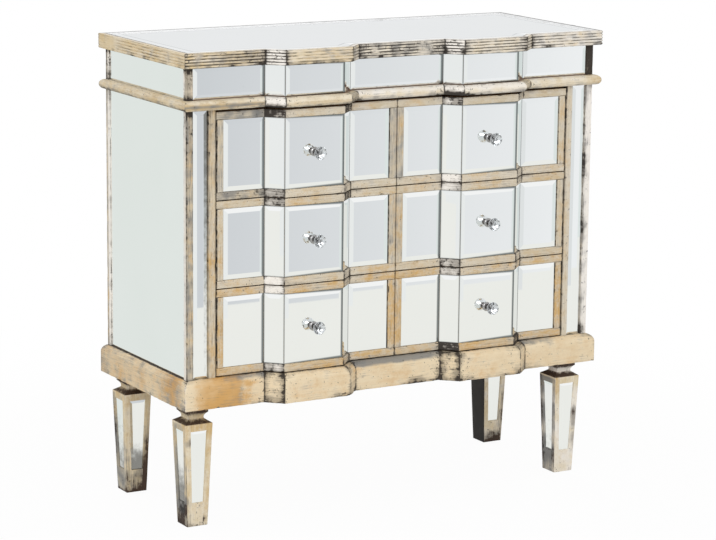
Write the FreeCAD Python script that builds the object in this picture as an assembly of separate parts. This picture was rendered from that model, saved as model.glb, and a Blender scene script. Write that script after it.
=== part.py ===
import FreeCAD, Part
import math
import os

from FreeCAD import Vector

# A mirrored chest of drawers with a breakfront: two canted blocks stand out of the front and run through the
# top, frieze, waist, drawers and plinth. The wooden frame is gilded, the fields are bevelled mirror.
# Millimetres. +X is to the right of someone facing the chest, +Y to its back, +Z up. The origin is on the
# floor under the middle of the overall box, which the knobs reach at the front.

# Case
CASE_WIDTH = 892.0
CASE_DEPTH = 347.0
FRONT_OVERHANG = 16.0
SIDE_OVERHANG = 11.0
BACK_OVERHANG = 9.0

# Breakfront blocks
BLOCK_WIDTH = 128.0
BLOCK_PROJECTION = 28.0
CANT_ANGLE = 45.0

# Heights
GLIDE_HEIGHT = 1.5
LEG_HEIGHT = 233.5
PLINTH_HEIGHT = 55.0
DRAWER_HEIGHT = 164.0
DRAWER_GAP = 2.0
TOP_DRAWER_GAP = 5.0
WAIST_HEIGHT = 19.0
FRIEZE_HEIGHT = 60.0
TOP_HEIGHT = 28.0

# Mouldings
TOP_LIP = 12.0
REED_COUNT = 5
REED_DEPTH = 1.8
WAIST_MOULDING_DEPTH = 14.0
PLINTH_THICKNESS = 20.0
PLINTH_ROUND_DEPTH = 11.0
PLINTH_ROUND_HEIGHT = 15.0
MITRE_SPARE = 5.0

# Mirror
PANE_THICKNESS = 4.0
PANE_RECESS = 2.0
PANE_BEVEL = 9.0
BEVEL_DEPTH = 1.0
PANE_JOINT = 0.4
TOP_MIRROR_BEVEL = 20.0
TOP_MIRROR_SINK = 1.0
SIDE_MIRROR_BEVEL = 18.0

# Stiles, posts and panels
STILE_WIDTH = 60.0
STILE_THICKNESS = 20.0
STRIP_WIDTH = 14.0
SIDE_STRIP = 12.0
POST_DEPTH = 18.0
PILASTER_RECESS = 3.0
PANEL_THICKNESS = 16.0
BASE_THICKNESS = 18.0
DIVIDER_THICKNESS = 18.0
LINER_THICKNESS = 15.0
BACK_THICKNESS = 5.0

# Drawers
FRAME_WIDTH = 15.0
FRAME_CHAMFER = 2.0
BOX_HEIGHT = 120.0
BOX_LIFT = 12.0
BOX_LENGTH = 300.0
BOX_THICKNESS = 12.0
BOTTOM_THICKNESS = 5.0
BOTTOM_LIFT = 8.0
BOTTOM_TONGUE = 5.0
SIDE_GAP = 3.0
RUNNER_HEIGHT = 14.0
RUNNER_REACH = 7.0
RUNNER_LENGTH = 290.0
RUNNER_SETBACK = 6.0
RUNNER_CLEARANCE = 0.3
JOINERY_CLEARANCE = 0.1

# Knobs
KNOB_SIDES = 12
CRYSTAL_RADIUS = 13.5
CRYSTAL_LENGTH = 22.0
CRYSTAL_NECK = 6.0
CRYSTAL_TABLE = 8.5
CRYSTAL_GIRDLE = 3.0
CRYSTAL_BACK = 8.0
ROSETTE_RADIUS = 8.0
ROSETTE_THICKNESS = 3.0
STEM_RADIUS = 4.5
STEM_LENGTH = 7.0
SHANK_RADIUS = 2.0
SHANK_LENGTH = 24.0
SHANK_CLEARANCE = 0.2

# Legs
LEG_WIDTH = 57.0
LEG_FOOT = 42.6
LEG_INSET_SIDE = 32.5
LEG_INSET_FRONT = 42.0
LEG_INSET_BACK = 39.0
LEG_CAP = 45.0
LEG_CAP_HEIGHT = 14.0
LEG_NECK = 33.0
LEG_NECK_HEIGHT = 13.0
LEG_SHOULDER = 8.0
LEG_COVE = 3.0
LEG_PANE_MARGIN = 10.5
LEG_PANE_BOTTOM = 45.0
LEG_PANE_TOP = 13.0
LEG_PANE_THICKNESS = 3.0
LEG_PANE_RECESS = 0.8
LEG_PANE_BEVEL = 5.0
LEG_PANE_FIT = 0.15
GLIDE_RADIUS = 12.0
GLIDE_CHAMFER = 0.6
CORNER_BLOCK = 70.0
BOLT_RADIUS = 4.0
BOLT_IN_LEG = 40.0
BOLT_IN_BLOCK = 28.0
BOLT_CLEARANCE = 0.2

ROWS = ("bottom", "middle", "top")
COLUMNS = {"left": -1, "right": 1}

# Levels from the floor up
plinth_bottom = GLIDE_HEIGHT + LEG_HEIGHT
plinth_top = plinth_bottom + PLINTH_HEIGHT
drawer_pitch = DRAWER_HEIGHT + DRAWER_GAP
waist_bottom = plinth_top + len(ROWS) * drawer_pitch + TOP_DRAWER_GAP
frieze_bottom = waist_bottom + WAIST_HEIGHT
top_bottom = frieze_bottom + FRIEZE_HEIGHT
top_level = top_bottom + TOP_HEIGHT

# Planes from front to back
knob_reach = ROSETTE_THICKNESS + STEM_LENGTH + CRYSTAL_LENGTH
front_reach = BLOCK_PROJECTION + max(FRONT_OVERHANG, knob_reach - PANE_RECESS)
overall_depth = front_reach + CASE_DEPTH + BACK_OVERHANG
case_front = front_reach - overall_depth / 2
case_back = case_front + CASE_DEPTH
pane_back = PANE_RECESS + PANE_THICKNESS
bay_front = case_front + STILE_THICKNESS
bay_back = case_back - BACK_THICKNESS
block_face_y = case_front - BLOCK_PROJECTION + PANE_RECESS

# Planes from the middle to one side
case_side = CASE_WIDTH / 2
stile_edge = case_side - STILE_WIDTH
strip_edge = case_side - STRIP_WIDTH
panel_outside = case_side - pane_back
panel_inside = panel_outside - PANEL_THICKNESS
drawer_inner = DRAWER_GAP / 2
drawer_outer = stile_edge - DRAWER_GAP
block_centre = (drawer_inner + drawer_outer) / 2
box_inner = DIVIDER_THICKNESS / 2 + SIDE_GAP
box_outer = stile_edge - SIDE_GAP

os.makedirs("parts", exist_ok=True)


def export(node, solids):
    """Write one node; several solids stay separate pieces of that node."""
    Part.makeCompound(solids).exportStep("parts/" + node + ".step")


def box(xs, ys, zs):
    """A board between two planes in each direction, given in either order."""
    low = Vector(min(xs), min(ys), min(zs))
    return Part.makeBox(max(xs) - low.x, max(ys) - low.y, max(zs) - low.z, low)


def flat_face(corners):
    """A flat face through corners in order."""
    return Part.Face(Part.makePolygon(list(corners) + [corners[0]]))


def prism(points, bottom, top):
    """A plan outline of (x, y) points carried straight up."""
    return flat_face([Vector(x, y, bottom) for x, y in points]).extrude(Vector(0, 0, top - bottom))


def stack(outlines):
    """A solid through matching flat outlines, each joined to the next by flat faces."""
    rings = [[Vector(*corner) for corner in outline] for outline in outlines]
    faces = [flat_face(rings[0]), flat_face(rings[-1])]
    for lower, upper in zip(rings, rings[1:]):
        for i in range(len(lower)):
            j = (i + 1) % len(lower)
            faces.append(flat_face([lower[i], lower[j], upper[j], upper[i]]))
    shell = Part.Shell(faces)
    shell.sewShape()
    solid = Part.Solid(shell)
    if solid.Volume < 0:
        solid.reverse()
    return solid


def block_run(forward, centre, left, right):
    """One stretch of the breakfront line round a block, a distance in front of the case."""
    half_turn = math.radians(CANT_ANGLE) / 2
    face = BLOCK_WIDTH / 2 + forward * math.tan(half_turn)
    foot = face + BLOCK_PROJECTION / math.tan(2 * half_turn)
    flat_y = case_front - forward
    block_y = flat_y - BLOCK_PROJECTION
    return [(left, flat_y), (centre - foot, flat_y), (centre - face, block_y),
            (centre + face, block_y), (centre + foot, flat_y), (right, flat_y)]


def front_run(forward, half_width):
    """The whole breakfront line from left to right."""
    left = block_run(forward, -block_centre, -half_width, 0)
    right = block_run(forward, block_centre, 0, half_width)
    return left[:-1] + right[1:]


def plan(out):
    """The outline that top, waist and plinth share, moved outwards, from the back left corner."""
    half_width = case_side + SIDE_OVERHANG + out
    back = case_back + BACK_OVERHANG + out
    return [(-half_width, back)] + front_run(FRONT_OVERHANG + out, half_width) + [(half_width, back)]


def level(points, height):
    """Plan points lifted to a height."""
    return [(x, y, height) for x, y in points]


def face_of(edges):
    """A profile face from lines and arcs in order."""
    return Part.Face(Part.Wire([edge.toShape() for edge in edges]))


def line(start, end):
    """A straight edge of a profile."""
    return Part.LineSegment(Vector(*start), Vector(*end))


def arc(start, middle, end):
    """A round edge of a profile through three points."""
    return Part.Arc(Vector(*start), Vector(*middle), Vector(*end))


def mitred_lengths(run, profile, depth, bottom, height, closed):
    """Moulding along straight stretches, one length each, mitred where they meet.

    run(out) gives the plan points moved outwards. The profile lies in (inwards, up) from the outer line.
    """
    path = run(0)
    outer = run(MITRE_SPARE)
    inner = run(-depth - MITRE_SPARE)
    lengths = []
    for i in range(len(path) if closed else len(path) - 1):
        j = (i + 1) % len(path)
        start = Vector(*path[i], bottom)
        along = Vector(*path[j], bottom) - start
        reach = along.Length
        along.normalize()
        frame = FreeCAD.Matrix(-along.y, 0, along.x, start.x, along.x, 0, along.y, start.y,
                               0, 1, 0, start.z, 0, 0, 0, 1)
        bar = profile.copy()
        bar.translate(Vector(0, 0, -depth))
        bar = bar.extrude(Vector(0, 0, reach + 2 * depth))
        bar.Placement = FreeCAD.Placement(frame)
        corner = [outer[i], outer[j], inner[j], inner[i]]
        wedge = prism(corner, bottom - MITRE_SPARE, bottom + height + MITRE_SPARE)
        lengths.append(bar.common(wedge).Solids[0])
    return lengths


def drawn_in(start, end, amount):
    """Two plan points moved towards each other."""
    step = Vector(end[0] - start[0], end[1] - start[1], 0)
    step.normalize()
    step *= amount
    return (start[0] + step.x, start[1] + step.y), (end[0] - step.x, end[1] - step.y)


def upright(ends, bottom, top):
    """The corners of an upright rectangle over two plan points."""
    (x0, y0), (x1, y1) = ends
    return [(x0, y0, bottom), (x1, y1, bottom), (x1, y1, top), (x0, y0, top)]


def bevelled_pane(run, i, bottom, top, bevel):
    """A mirror pane on stretch i of a run, its sides mitred and its face bevelled.

    run(forward) gives the plan points in front of the pane's face plane.
    """
    low = bottom + PANE_JOINT
    high = top - PANE_JOINT
    back = drawn_in(*run(-PANE_THICKNESS)[i:i + 2], PANE_JOINT)
    edge = drawn_in(*run(-BEVEL_DEPTH)[i:i + 2], PANE_JOINT)
    face = drawn_in(*run(0)[i:i + 2], PANE_JOINT + bevel)
    return stack([upright(back, low, high), upright(edge, low, high),
                  upright(face, low + bevel, high - bevel)])


def mirrored(shape):
    """The other-handed twin of a piece, across the middle of the chest."""
    return shape.mirror(Vector(0, 0, 0), Vector(1, 0, 0))


def corner_strip(edge_y, inwards, depth, bottom, top):
    """A right-hand corner strip, rebated behind for the edge of the side mirror."""
    end = edge_y + inwards * depth
    rebate = edge_y + inwards * SIDE_STRIP
    outline = [(strip_edge, edge_y), (case_side, edge_y), (case_side, rebate), (panel_outside, rebate),
               (panel_outside, end), (strip_edge, end)]
    return prism(outline, bottom, top)


def side_run(forward):
    """The right side's line for a mirror, from the front strip to the back strip."""
    x = case_side - PANE_RECESS + forward
    return [(x, case_front + SIDE_STRIP), (x, case_back - SIDE_STRIP)]


def make_legs():
    """Square tapered legs with a moulded neck, mirror let into their faces, each on a glide."""
    shoulder_z = plinth_bottom - LEG_CAP_HEIGHT - LEG_NECK_HEIGHT - LEG_SHOULDER
    neck_z = shoulder_z + LEG_SHOULDER
    cap_z = plinth_bottom - LEG_CAP_HEIGHT
    foot, top, neck, cap = LEG_FOOT / 2, LEG_WIDTH / 2, LEG_NECK / 2, LEG_CAP / 2
    chord = Vector(cap - neck, 0, cap_z - neck_z)
    bow = Vector(-chord.z, 0, chord.x).normalize() * LEG_COVE
    cove = Vector(neck, 0, neck_z) + chord * 0.5 + bow
    right = [line((foot, 0, GLIDE_HEIGHT), (top, 0, shoulder_z)),
             line((top, 0, shoulder_z), (neck, 0, neck_z)),
             arc((neck, 0, neck_z), cove, (cap, 0, cap_z)),
             line((cap, 0, cap_z), (cap, 0, plinth_bottom)),
             line((cap, 0, plinth_bottom), (0, 0, plinth_bottom))]
    half = Part.Wire([edge.toShape() for edge in right] + [line((0, 0, GLIDE_HEIGHT),
                                                               (foot, 0, GLIDE_HEIGHT)).toShape()])
    other = half.mirror(Vector(0, 0, 0), Vector(1, 0, 0))
    outline = Part.Face(Part.Wire(Part.__sortEdges__(half.Edges + other.Edges)))
    outline.translate(Vector(0, -LEG_WIDTH, 0))
    one_way = outline.extrude(Vector(0, 2 * LEG_WIDTH, 0))
    turned = one_way.copy()
    turned.rotate(Vector(0, 0, 0), Vector(0, 0, 1), 90)
    blank = one_way.common(turned).Solids[0]

    def half_width(z):
        return foot + (top - foot) * (z - GLIDE_HEIGHT) / (shoulder_z - GLIDE_HEIGHT)

    def field(depth, inset):
        """The corners of a tapered field on the front face, sunk by a depth and drawn in by an inset."""
        low = GLIDE_HEIGHT + LEG_PANE_BOTTOM + inset
        high = shoulder_z - LEG_PANE_TOP - inset
        wide_low = half_width(low) - LEG_PANE_MARGIN - inset
        wide_high = half_width(high) - LEG_PANE_MARGIN - inset
        return [(-wide_low, depth - half_width(low), low), (wide_low, depth - half_width(low), low),
                (wide_high, depth - half_width(high), high), (-wide_high, depth - half_width(high), high)]

    pane_depth = LEG_PANE_RECESS + LEG_PANE_THICKNESS
    pocket = stack([field(pane_depth, 0), field(-LEG_PANE_BEVEL, 0)])
    pane = stack([field(pane_depth, LEG_PANE_FIT), field(LEG_PANE_RECESS + BEVEL_DEPTH, LEG_PANE_FIT),
                  field(LEG_PANE_RECESS, LEG_PANE_FIT + LEG_PANE_BEVEL)])
    bolt_hole = Part.makeCylinder(BOLT_RADIUS + BOLT_CLEARANCE, BOLT_IN_LEG + BOLT_CLEARANCE,
                                  Vector(0, 0, plinth_bottom), Vector(0, 0, -1))
    bolt = Part.makeCylinder(BOLT_RADIUS, BOLT_IN_LEG + BOLT_IN_BLOCK,
                             Vector(0, 0, plinth_bottom - BOLT_IN_LEG))
    flat = GLIDE_RADIUS - GLIDE_CHAMFER
    half_glide = flat_face([Vector(0, 0, 0), Vector(flat, 0, 0), Vector(GLIDE_RADIUS, 0, GLIDE_CHAMFER),
                            Vector(GLIDE_RADIUS, 0, GLIDE_HEIGHT), Vector(0, 0, GLIDE_HEIGHT)])
    glide = half_glide.revolve(Vector(0, 0, 0), Vector(0, 0, 1), 360)

    places = {"front": case_front + LEG_INSET_FRONT, "back": case_back - LEG_INSET_BACK}
    panes, glides, bolts = [], [], []
    for place, y in places.items():
        for column, hand in COLUMNS.items():
            turns = [0, 90 * hand] + ([-90 * hand] if place == "front" else [])
            shift = Vector(hand * (case_side - LEG_INSET_SIDE), y, 0)
            leg = blank.cut(bolt_hole)
            for turn in turns:
                leg_pocket, leg_pane = pocket.copy(), pane.copy()
                for piece in (leg_pocket, leg_pane):
                    piece.rotate(Vector(0, 0, 0), Vector(0, 0, 1), turn)
                leg = leg.cut(leg_pocket)
                panes.append(leg_pane.translated(shift))
            export(place + "_" + column + "_leg", [leg.translated(shift)])
            glides.append(glide.translated(shift))
            bolts.append(bolt.translated(shift))
    export("leg_mirrors", panes)
    export("floor_glides", glides)
    export("leg_bolts", bolts)


def make_plinth():
    """The plinth: mitred moulding lengths, corner blocks that take the leg bolts, and the base board."""
    height, depth = PLINTH_HEIGHT, PLINTH_THICKNESS
    shelf, rise = PLINTH_ROUND_DEPTH, PLINTH_ROUND_HEIGHT
    radius = (shelf ** 2 + rise ** 2) / (2 * shelf)
    half_turn = math.asin(rise / radius) / 2
    shoulder = height - rise
    halfway = (radius * (1 - math.cos(half_turn)), shoulder + radius * math.sin(half_turn), 0)
    profile = face_of([line((depth, 0, 0), (0, 0, 0)), line((0, 0, 0), (0, shoulder, 0)),
                       arc((0, shoulder, 0), halfway, (shelf, height, 0)),
                       line((shelf, height, 0), (depth, height, 0)),
                       line((depth, height, 0), (depth, 0, 0))])
    export("plinth_moulding", mitred_lengths(plan, profile, depth, plinth_bottom, height, True))
    export("base_board", [prism(plan(-depth), plinth_top - BASE_THICKNESS, plinth_top)])

    inside_x = case_side + SIDE_OVERHANG - depth
    inside_front = case_front - FRONT_OVERHANG + depth
    inside_back = case_back + BACK_OVERHANG - depth
    corners = [(inside_front, inside_front + CORNER_BLOCK, case_front + LEG_INSET_FRONT),
               (inside_back - CORNER_BLOCK, inside_back, case_back - LEG_INSET_BACK)]
    blocks = []
    for near, far, leg_y in corners:
        block = box((inside_x - CORNER_BLOCK, inside_x), (near, far),
                    (plinth_bottom, plinth_top - BASE_THICKNESS))
        hole = Part.makeCylinder(BOLT_RADIUS + BOLT_CLEARANCE, BOLT_IN_BLOCK + BOLT_CLEARANCE,
                                 Vector(case_side - LEG_INSET_SIDE, leg_y, plinth_bottom))
        block = block.cut(hole)
        blocks += [block, mirrored(block)]
    export("corner_blocks", blocks)


def make_case():
    """Side panels with their mirrors, front stiles, back posts, back, divider, liners and drawer runners."""
    heights = (plinth_top, waist_bottom)
    panel = box((panel_inside, panel_outside), (bay_front, case_back - POST_DEPTH), heights)
    export("side_panels", [mirrored(panel), panel])

    mirror = bevelled_pane(side_run, 0, *heights, SIDE_MIRROR_BEVEL)
    export("right_side_mirror", [mirror])
    export("left_side_mirror", [mirrored(mirror)])

    rebate_y = case_front + SIDE_STRIP
    groove_y = case_front + PILASTER_RECESS + PANE_THICKNESS
    groove_edge = stile_edge + STRIP_WIDTH
    outline = [(stile_edge, case_front), (groove_edge, case_front), (groove_edge, groove_y),
               (strip_edge, groove_y), (strip_edge, case_front), (case_side, case_front),
               (case_side, rebate_y), (panel_outside, rebate_y), (panel_outside, bay_front),
               (stile_edge, bay_front)]
    stile = prism(outline, *heights)
    export("right_front_stile", [stile])
    export("left_front_stile", [mirrored(stile)])

    def pilaster_run(forward):
        y = case_front + PILASTER_RECESS - forward
        return [(groove_edge, y), (strip_edge, y)]

    pilaster = bevelled_pane(pilaster_run, 0, *heights, PANE_BEVEL)
    export("pilaster_mirrors", [mirrored(pilaster), pilaster])

    post = corner_strip(case_back, -1, POST_DEPTH, *heights)
    export("back_posts", [mirrored(post), post])
    export("back_panel", [box((-strip_edge, strip_edge), (bay_back, case_back), heights)])

    half = DIVIDER_THICKNESS / 2
    export("centre_divider", [box((-half, half), (bay_front, bay_back), heights)])
    liner = box((stile_edge, stile_edge + LINER_THICKNESS), (bay_front, bay_back), heights)
    export("bay_liners", [mirrored(liner), liner])

    runners = []
    tip = SIDE_GAP + RUNNER_REACH
    start = bay_front + RUNNER_SETBACK
    for row in range(len(ROWS)):
        low = runner_level(row)
        for xs in ((half, half + tip), (stile_edge - tip, stile_edge)):
            runner = box(xs, (start, start + RUNNER_LENGTH), (low, low + RUNNER_HEIGHT))
            runners += [mirrored(runner), runner]
    export("drawer_runners", runners)


def drawer_level(row):
    """The lower edge of a drawer's front."""
    return plinth_top + DRAWER_GAP + row * drawer_pitch


def runner_level(row):
    """The lower face of a drawer's two runners, half way up the drawer's sides."""
    return drawer_level(row) + BOX_LIFT + (BOX_HEIGHT - RUNNER_HEIGHT) / 2


def make_knob(z):
    """A cut crystal knob glued on a faceted metal rosette and stem, whose shank runs into the block."""
    seat = block_face_y - ROSETTE_THICKNESS - STEM_LENGTH

    def ring(radius, reach):
        turn = 2 * math.pi / KNOB_SIDES
        return [(block_centre + radius * math.cos(k * turn), seat - reach, z + radius * math.sin(k * turn))
                for k in range(KNOB_SIDES)]

    crown = CRYSTAL_BACK + CRYSTAL_GIRDLE
    crystal = stack([ring(CRYSTAL_NECK, 0), ring(CRYSTAL_RADIUS, CRYSTAL_BACK),
                     ring(CRYSTAL_RADIUS, crown), ring(CRYSTAL_TABLE, CRYSTAL_LENGTH)])

    metal = stack([ring(ROSETTE_RADIUS, seat - block_face_y), ring(ROSETTE_RADIUS, -STEM_LENGTH),
                   ring(STEM_RADIUS, -STEM_LENGTH), ring(STEM_RADIUS, 0)])
    inwards = Vector(0, 1, 0)
    shank = Part.makeCylinder(SHANK_RADIUS, SHANK_LENGTH, Vector(block_centre, block_face_y, z), inwards)
    base = metal.fuse(shank)
    return crystal, base


def make_drawer(row):
    """The pieces of a right-hand drawer: box, gilt frame, mirror panes, crystal knob and its base."""
    low = drawer_level(row)
    high = low + DRAWER_HEIGHT
    knob_z = (low + high) / 2
    panel_y = case_front + pane_back
    crystal, base = make_knob(knob_z)
    shank_hole = Part.makeCylinder(SHANK_RADIUS + SHANK_CLEARANCE, SHANK_LENGTH + SHANK_CLEARANCE,
                                   Vector(block_centre, block_face_y, knob_z), Vector(0, 1, 0))

    def run(forward):
        return block_run(forward - PANE_RECESS, block_centre,
                         drawer_inner + FRAME_WIDTH, drawer_outer - FRAME_WIDTH)

    core = block_run(-pane_back, block_centre, drawer_inner, drawer_outer)
    front = box((drawer_inner, drawer_outer), (panel_y, bay_front), (low, high)).cut(shank_hole)
    block = prism(core[1:5], low, high).cut(shank_hole)

    box_low = low + BOX_LIFT
    box_high = box_low + BOX_HEIGHT
    box_back = bay_front + BOX_LENGTH
    bottom_low = box_low + BOTTOM_LIFT
    groove_start = bay_front + RUNNER_SETBACK - RUNNER_CLEARANCE
    groove_low = runner_level(row) - RUNNER_CLEARANCE
    groove_high = groove_low + RUNNER_HEIGHT + 2 * RUNNER_CLEARANCE
    groove_depth = RUNNER_REACH + RUNNER_CLEARANCE
    slot_depth = BOTTOM_TONGUE + JOINERY_CLEARANCE
    slot_zs = (bottom_low - JOINERY_CLEARANCE, bottom_low + BOTTOM_THICKNESS + JOINERY_CLEARANCE)
    sides = []
    for outside, inwards in ((box_inner, 1), (box_outer, -1)):
        inside = outside + inwards * BOX_THICKNESS
        side = box((outside, inside), (bay_front, box_back), (box_low, box_high))
        groove_xs = (outside, outside + inwards * groove_depth)
        groove = box(groove_xs, (groove_start, box_back), (groove_low, groove_high))
        slot = box((inside - inwards * slot_depth, inside), (bay_front, box_back), slot_zs)
        sides.append(side.cut(groove).cut(slot))
    inner_xs = (box_inner + BOX_THICKNESS, box_outer - BOX_THICKNESS)
    bottom_xs = (inner_xs[0] - BOTTOM_TONGUE, inner_xs[1] + BOTTOM_TONGUE)
    back = box(inner_xs, (box_back - BOX_THICKNESS, box_back), (bottom_low + BOTTOM_THICKNESS, box_high))
    bottom = box(bottom_xs, (bay_front, box_back), (bottom_low, bottom_low + BOTTOM_THICKNESS))
    carcass = [front, block, sides[0], sides[1], back, bottom]

    def rail_run(out):
        return block_run(out, block_centre, drawer_inner, drawer_outer)

    width, thick, chamfer = FRAME_WIDTH, pane_back, FRAME_CHAMFER
    profile = flat_face([Vector(thick, 0, 0), Vector(0, 0, 0), Vector(0, width - chamfer, 0),
                         Vector(chamfer, width, 0), Vector(thick, width, 0)])
    upper_profile = profile.mirror(Vector(0, width / 2, 0), Vector(0, 1, 0))
    frame = mitred_lengths(rail_run, profile, thick, low, width, False)
    frame += mitred_lengths(rail_run, upper_profile, thick, high - width, width, False)
    for edge, inwards in ((drawer_inner, 1), (drawer_outer, -1)):
        inside = edge + inwards * width
        outline = [(edge, case_front), (inside - inwards * chamfer, case_front),
                   (inside, case_front + chamfer), (inside, panel_y), (edge, panel_y)]
        frame.append(prism(outline, low + width, high - width))

    panes = [bevelled_pane(run, i, low + width, high - width, PANE_BEVEL) for i in range(5)]
    panes[2] = panes[2].cut(shank_hole)
    return {"box": carcass, "frame": frame, "mirrors": panes, "knob": [crystal], "knob_base": [base]}


def make_drawers():
    """Three drawers a side, the left ones the twins of the right ones."""
    for row, row_name in enumerate(ROWS):
        drawer = make_drawer(row)
        for column, hand in COLUMNS.items():
            for piece, solids in drawer.items():
                placed = solids if hand > 0 else [mirrored(solid) for solid in solids]
                export("_".join([column, row_name, "drawer", piece]), placed)


def make_waist():
    """The board over the drawers, with a half-round nosing carried round it."""
    depth, nose = WAIST_MOULDING_DEPTH, WAIST_HEIGHT / 2
    profile = face_of([line((depth, 0, 0), (nose, 0, 0)),
                       arc((nose, 0, 0), (0, nose, 0), (nose, 2 * nose, 0)),
                       line((nose, 2 * nose, 0), (depth, 2 * nose, 0)),
                       line((depth, 2 * nose, 0), (depth, 0, 0))])
    export("waist_moulding", mitred_lengths(plan, profile, depth, waist_bottom, WAIST_HEIGHT, True))
    export("waist_board", [prism(plan(-depth), waist_bottom, frieze_bottom)])


def make_frieze():
    """The fixed frieze: rails with block pieces, gilt corner strips and mirror panes on three sides."""
    rail_back = case_front + pane_back + PANEL_THICKNESS
    core = front_run(-pane_back, strip_edge)
    heights = (frieze_bottom, top_bottom)
    front = box((-strip_edge, strip_edge), (case_front + pane_back, rail_back), heights)
    back = box((-strip_edge, strip_edge), (case_back - PANEL_THICKNESS, case_back), heights)
    side = box((panel_inside, panel_outside), (rail_back, case_back - POST_DEPTH), heights)
    blocks = [prism(core[1:5], *heights), prism(core[5:9], *heights)]
    export("frieze_rails", [front, back, mirrored(side), side] + blocks)

    front_strip = corner_strip(case_front, 1, rail_back - case_front, *heights)
    back_strip = corner_strip(case_back, -1, POST_DEPTH, *heights)
    export("frieze_corner_strips", [mirrored(front_strip), front_strip, mirrored(back_strip), back_strip])

    def run(forward):
        return front_run(forward - PANE_RECESS, strip_edge)

    panes = [bevelled_pane(run, i, *heights, PANE_BEVEL) for i in range(len(core) - 1)]
    end_pane = bevelled_pane(side_run, 0, *heights, PANE_BEVEL)
    export("frieze_mirrors", panes + [mirrored(end_pane), end_pane])


def make_top():
    """The top: a board, a bevelled mirror plate on it, and reeded moulding that stands round both."""
    depth, pitch = TOP_LIP, TOP_HEIGHT / REED_COUNT
    edges = [line((depth, 0, 0), (REED_DEPTH, 0, 0))]
    for k in range(REED_COUNT):
        crown = (0, (k + 0.5) * pitch, 0)
        edges.append(arc((REED_DEPTH, k * pitch, 0), crown, (REED_DEPTH, (k + 1) * pitch, 0)))
    edges.append(line((REED_DEPTH, TOP_HEIGHT, 0), (depth, TOP_HEIGHT, 0)))
    edges.append(line((depth, TOP_HEIGHT, 0), (depth, 0, 0)))
    lengths = mitred_lengths(plan, face_of(edges), depth, top_bottom, TOP_HEIGHT, True)
    export("top_moulding_front", lengths[1:-2])
    export("top_moulding_returns", [lengths[0], lengths[-2], lengths[-1]])

    glass_top = top_level - TOP_MIRROR_SINK
    glass_bottom = glass_top - PANE_THICKNESS
    export("top_board", [prism(plan(-depth), top_bottom, glass_bottom)])
    edge = plan(-depth - PANE_JOINT)
    face = plan(-depth - PANE_JOINT - TOP_MIRROR_BEVEL)
    export("top_mirror", [stack([level(edge, glass_bottom), level(edge, glass_top - BEVEL_DEPTH),
                                 level(face, glass_top)])])


make_legs()
make_plinth()
make_case()
make_drawers()
make_waist()
make_frieze()
make_top()
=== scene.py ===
import bpy
import numpy as np
from mathutils import Matrix, Vector


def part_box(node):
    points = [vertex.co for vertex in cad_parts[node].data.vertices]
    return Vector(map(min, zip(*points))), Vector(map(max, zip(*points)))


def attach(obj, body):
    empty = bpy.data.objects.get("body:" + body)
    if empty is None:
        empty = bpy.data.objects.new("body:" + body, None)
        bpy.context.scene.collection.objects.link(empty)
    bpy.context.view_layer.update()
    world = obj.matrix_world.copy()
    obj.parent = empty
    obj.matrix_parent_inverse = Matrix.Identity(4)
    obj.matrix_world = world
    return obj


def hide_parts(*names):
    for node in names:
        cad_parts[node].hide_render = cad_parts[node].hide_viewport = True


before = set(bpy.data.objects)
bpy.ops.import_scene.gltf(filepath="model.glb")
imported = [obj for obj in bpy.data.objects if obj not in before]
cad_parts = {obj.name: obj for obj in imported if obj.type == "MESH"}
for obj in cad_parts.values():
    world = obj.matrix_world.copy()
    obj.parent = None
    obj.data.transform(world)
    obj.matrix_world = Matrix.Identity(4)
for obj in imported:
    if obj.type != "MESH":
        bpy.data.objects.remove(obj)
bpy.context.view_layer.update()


# Floor glides. Dark nylon discs, moulded and nailed under the feet of the legs, so that the gilding
# never touches the floor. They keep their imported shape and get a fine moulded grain.

class Socket:
    """An output in a node tree. Arithmetic on it adds Math nodes."""

    def __init__(self, nodes, socket):
        self.nodes = nodes
        self.socket = socket

    def math(self, operation, first, second):
        """What a Math node gives for two operands."""
        return self.nodes.add("ShaderNodeMath", {"operation": operation}, {0: first, 1: second})

    def __add__(self, other):
        return self.math("ADD", self, other)

    def __sub__(self, other):
        return self.math("SUBTRACT", self, other)

    def __rsub__(self, other):
        return self.math("SUBTRACT", other, self)

    def __mul__(self, other):
        return self.math("MULTIPLY", self, other)

    __radd__ = __add__
    __rmul__ = __mul__

    def smaller(self, other):
        return self.math("MINIMUM", self, other)

    def larger(self, other):
        return self.math("MAXIMUM", self, other)

    def ease(self, low, high):
        """0 below low and 1 above high with a soft step between; low above high turns it round."""
        return self.nodes.add("ShaderNodeMapRange", {"interpolation_type": "SMOOTHSTEP"},
                              {"Value": self, "From Min": low, "From Max": high})


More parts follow.
